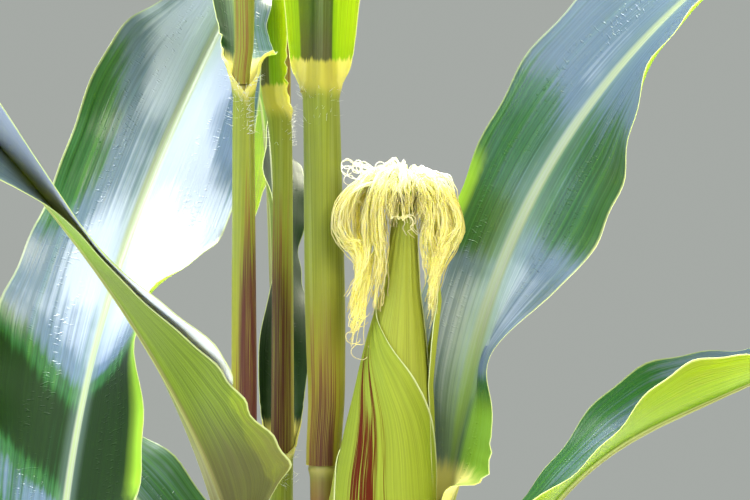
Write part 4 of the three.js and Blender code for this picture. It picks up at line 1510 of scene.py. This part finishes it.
class MAIZE_OT_ear(bpy.types.Operator):
    """Wrap the ear in its husks"""

    bl_idname = "maize.ear"
    bl_label = "Ear"

    def execute(self, context):
        colours = context.scene.maize_colours
        outer = husk_material("husk_outer", colours.husk)
        inner = husk_material("husk_inner", colours.husk_pale)
        for husk in HUSKS:
            material = outer if husk["name"] == "outer" else inner
            piece = placed(husk_mesh(husk), material, material)
            finish_piece(piece, "husk", *(["ear"] if husk["name"] == "core" else []))
        path = smooth_path(SHANK_FOOT, 10)
        shank = tube_mesh("ear_shank", [path], [np.linspace(*SHANK_RADII, 10)], 14)
        finish_piece(placed(shank, outer), "husk")
        return {"FINISHED"}


class MAIZE_OT_silk(bpy.types.Operator):
    """Grow the silk over the ear's tip"""

    bl_idname = "maize.silk"
    bl_label = "Silk"

    def execute(self, context):
        sizes = context.scene.maize_sizes
        material = strand_material(context.scene.maize_colours)
        paths, values = strand_paths(sizes)
        radius = sizes.strand_radius
        piece = grow_strands("silk_strands", paths, values, radius, STRAND_CURL, material)
        finish_piece(piece, "silk", "silk")
        return {"FINISHED"}


class MAIZE_OT_tassels(bpy.types.Operator):
    """Grow the tassel of each stem"""

    bl_idname = "maize.tassels"
    bl_label = "Tassels"

    def execute(self, context):
        material = tassel_material(context.scene.maize_colours)
        gap = context.scene.maize_sizes.spikelet_gap
        for key, spec in TASSELS.items():
            stem = STEMS[key]
            paths = tassel_paths(stem, spec)
            radii = [np.linspace(stem["top_radius"], SPIKE_TIP, len(paths[0]))]
            radii += [np.linspace(*BRANCH_RADII, len(path)) for path in paths[1:]]
            axes = placed(tube_mesh(f"{key}_tassel_axes", paths, radii, 8), material)
            finish_piece(axes, "tassel", f"{key}_tassel")
            bearing = [path[3:] for path in paths]
            grains = grow_spikelets(f"{key}_tassel_spikelets", bearing, gap, material)
            finish_piece(grains, "tassel")
        return {"FINISHED"}


class MAIZE_OT_hairs(bpy.types.Operator):
    """Grow the fine hairs below the collars"""

    bl_idname = "maize.hairs"
    bl_label = "Hairs"

    def execute(self, context):
        material = hair_material(context.scene.maize_colours)
        length = context.scene.maize_sizes.hair_length
        for key, leaves in LEAVES.items():
            roots, ways = [], []
            for index, sizes in enumerate(leaves):
                if not sizes["bulge"]:
                    found = collar_hairs(key, index)
                    roots += found[0]
                    ways += found[1]
            piece = grow_hairs(f"{key}_hairs", roots, ways, length, material)
            finish_piece(piece, "leaf")
        return {"FINISHED"}


def area_light(name, place, target, width, height, watts, tone):
    light = bpy.data.lights.new(name, "AREA")
    light.shape, light.size, light.size_y = "RECTANGLE", width, height
    light.energy, light.color = watts, tone
    lamp = linked(name, light)
    lamp.location = place
    lamp.rotation_euler = (Vector(target) - Vector(place)).to_track_quat("-Z", "Y").to_euler()


class MAIZE_OT_stage(bpy.types.Operator):
    """Set the floor, the soft light and the photograph's view"""

    bl_idname = "maize.stage"
    bl_label = "Stage"

    def execute(self, context):
        scene = context.scene
        corners = [(-FLOOR, -FLOOR, 0), (FLOOR, -FLOOR, 0), (FLOOR, FLOOR, 0), (-FLOOR, FLOOR, 0)]
        shade = Shading("floor")
        patch = shade.noise(2, 2)
        material = shade.finish(shade.mix(patch, *Tone.floor), 0.8, (patch, 0.02, 0.001))
        placed(new_mesh("floor", corners, [(0, 1, 2, 3)]), material)
        world = bpy.data.worlds.new("studio")
        world.use_nodes = True
        sky = world.node_tree.nodes["Background"].inputs
        sky["Color"].default_value = (*Tone.sky, 1)
        sky["Strength"].default_value = 0.5
        scene.world = world
        scene.view_settings.view_transform = "Standard"
        for name, place, width, height, watts, tone in LIGHTS:
            area_light(name, place, LIT_POINT, width, height, watts, tint(*tone))
        camera = bpy.data.cameras.new("camera")
        camera.sensor_width = SENSOR * 1000
        camera.lens = 1000 * SENSOR * -CAMERA[1] / (PHOTO_WIDTH * PIXEL)
        scene.camera = linked("camera", camera)
        scene.camera.location = CAMERA
        scene.camera.rotation_euler = (math.pi / 2, 0, 0)
        return {"FINISHED"}


STEPS = (
    MAIZE_OT_stage,
    MAIZE_OT_stalks,
    MAIZE_OT_leaves,
    MAIZE_OT_ear,
    MAIZE_OT_silk,
    MAIZE_OT_tassels,
    MAIZE_OT_hairs,
)


class MAIZE_PT_panel(bpy.types.Panel):
    """Lists the plant's pieces, sizes and colours"""

    bl_label = "Maize Plant"
    bl_idname = "MAIZE_PT_panel"
    bl_space_type = "VIEW_3D"
    bl_region_type = "UI"
    bl_category = "Maize"

    def draw(self, context):
        for group in (context.scene.maize_sizes, context.scene.maize_colours):
            for key in group.__annotations__:
                self.layout.prop(group, key)
        for step in STEPS:
            self.layout.operator(step.bl_idname)


CLASSES = (MaizeColours, MaizeSizes, *STEPS, MAIZE_PT_panel)


def register():
    for each in CLASSES:
        bpy.utils.register_class(each)
    bpy.types.Scene.maize_colours = PointerProperty(type=MaizeColours)
    bpy.types.Scene.maize_sizes = PointerProperty(type=MaizeSizes)


def unregister():
    del bpy.types.Scene.maize_sizes
    del bpy.types.Scene.maize_colours
    for each in reversed(CLASSES):
        bpy.utils.unregister_class(each)


def main():
    register()
    for step in STEPS:
        group, name = step.bl_idname.split(".")
        getattr(getattr(bpy.ops, group), name)()
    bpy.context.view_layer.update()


if __name__ == "__main__":
    main()
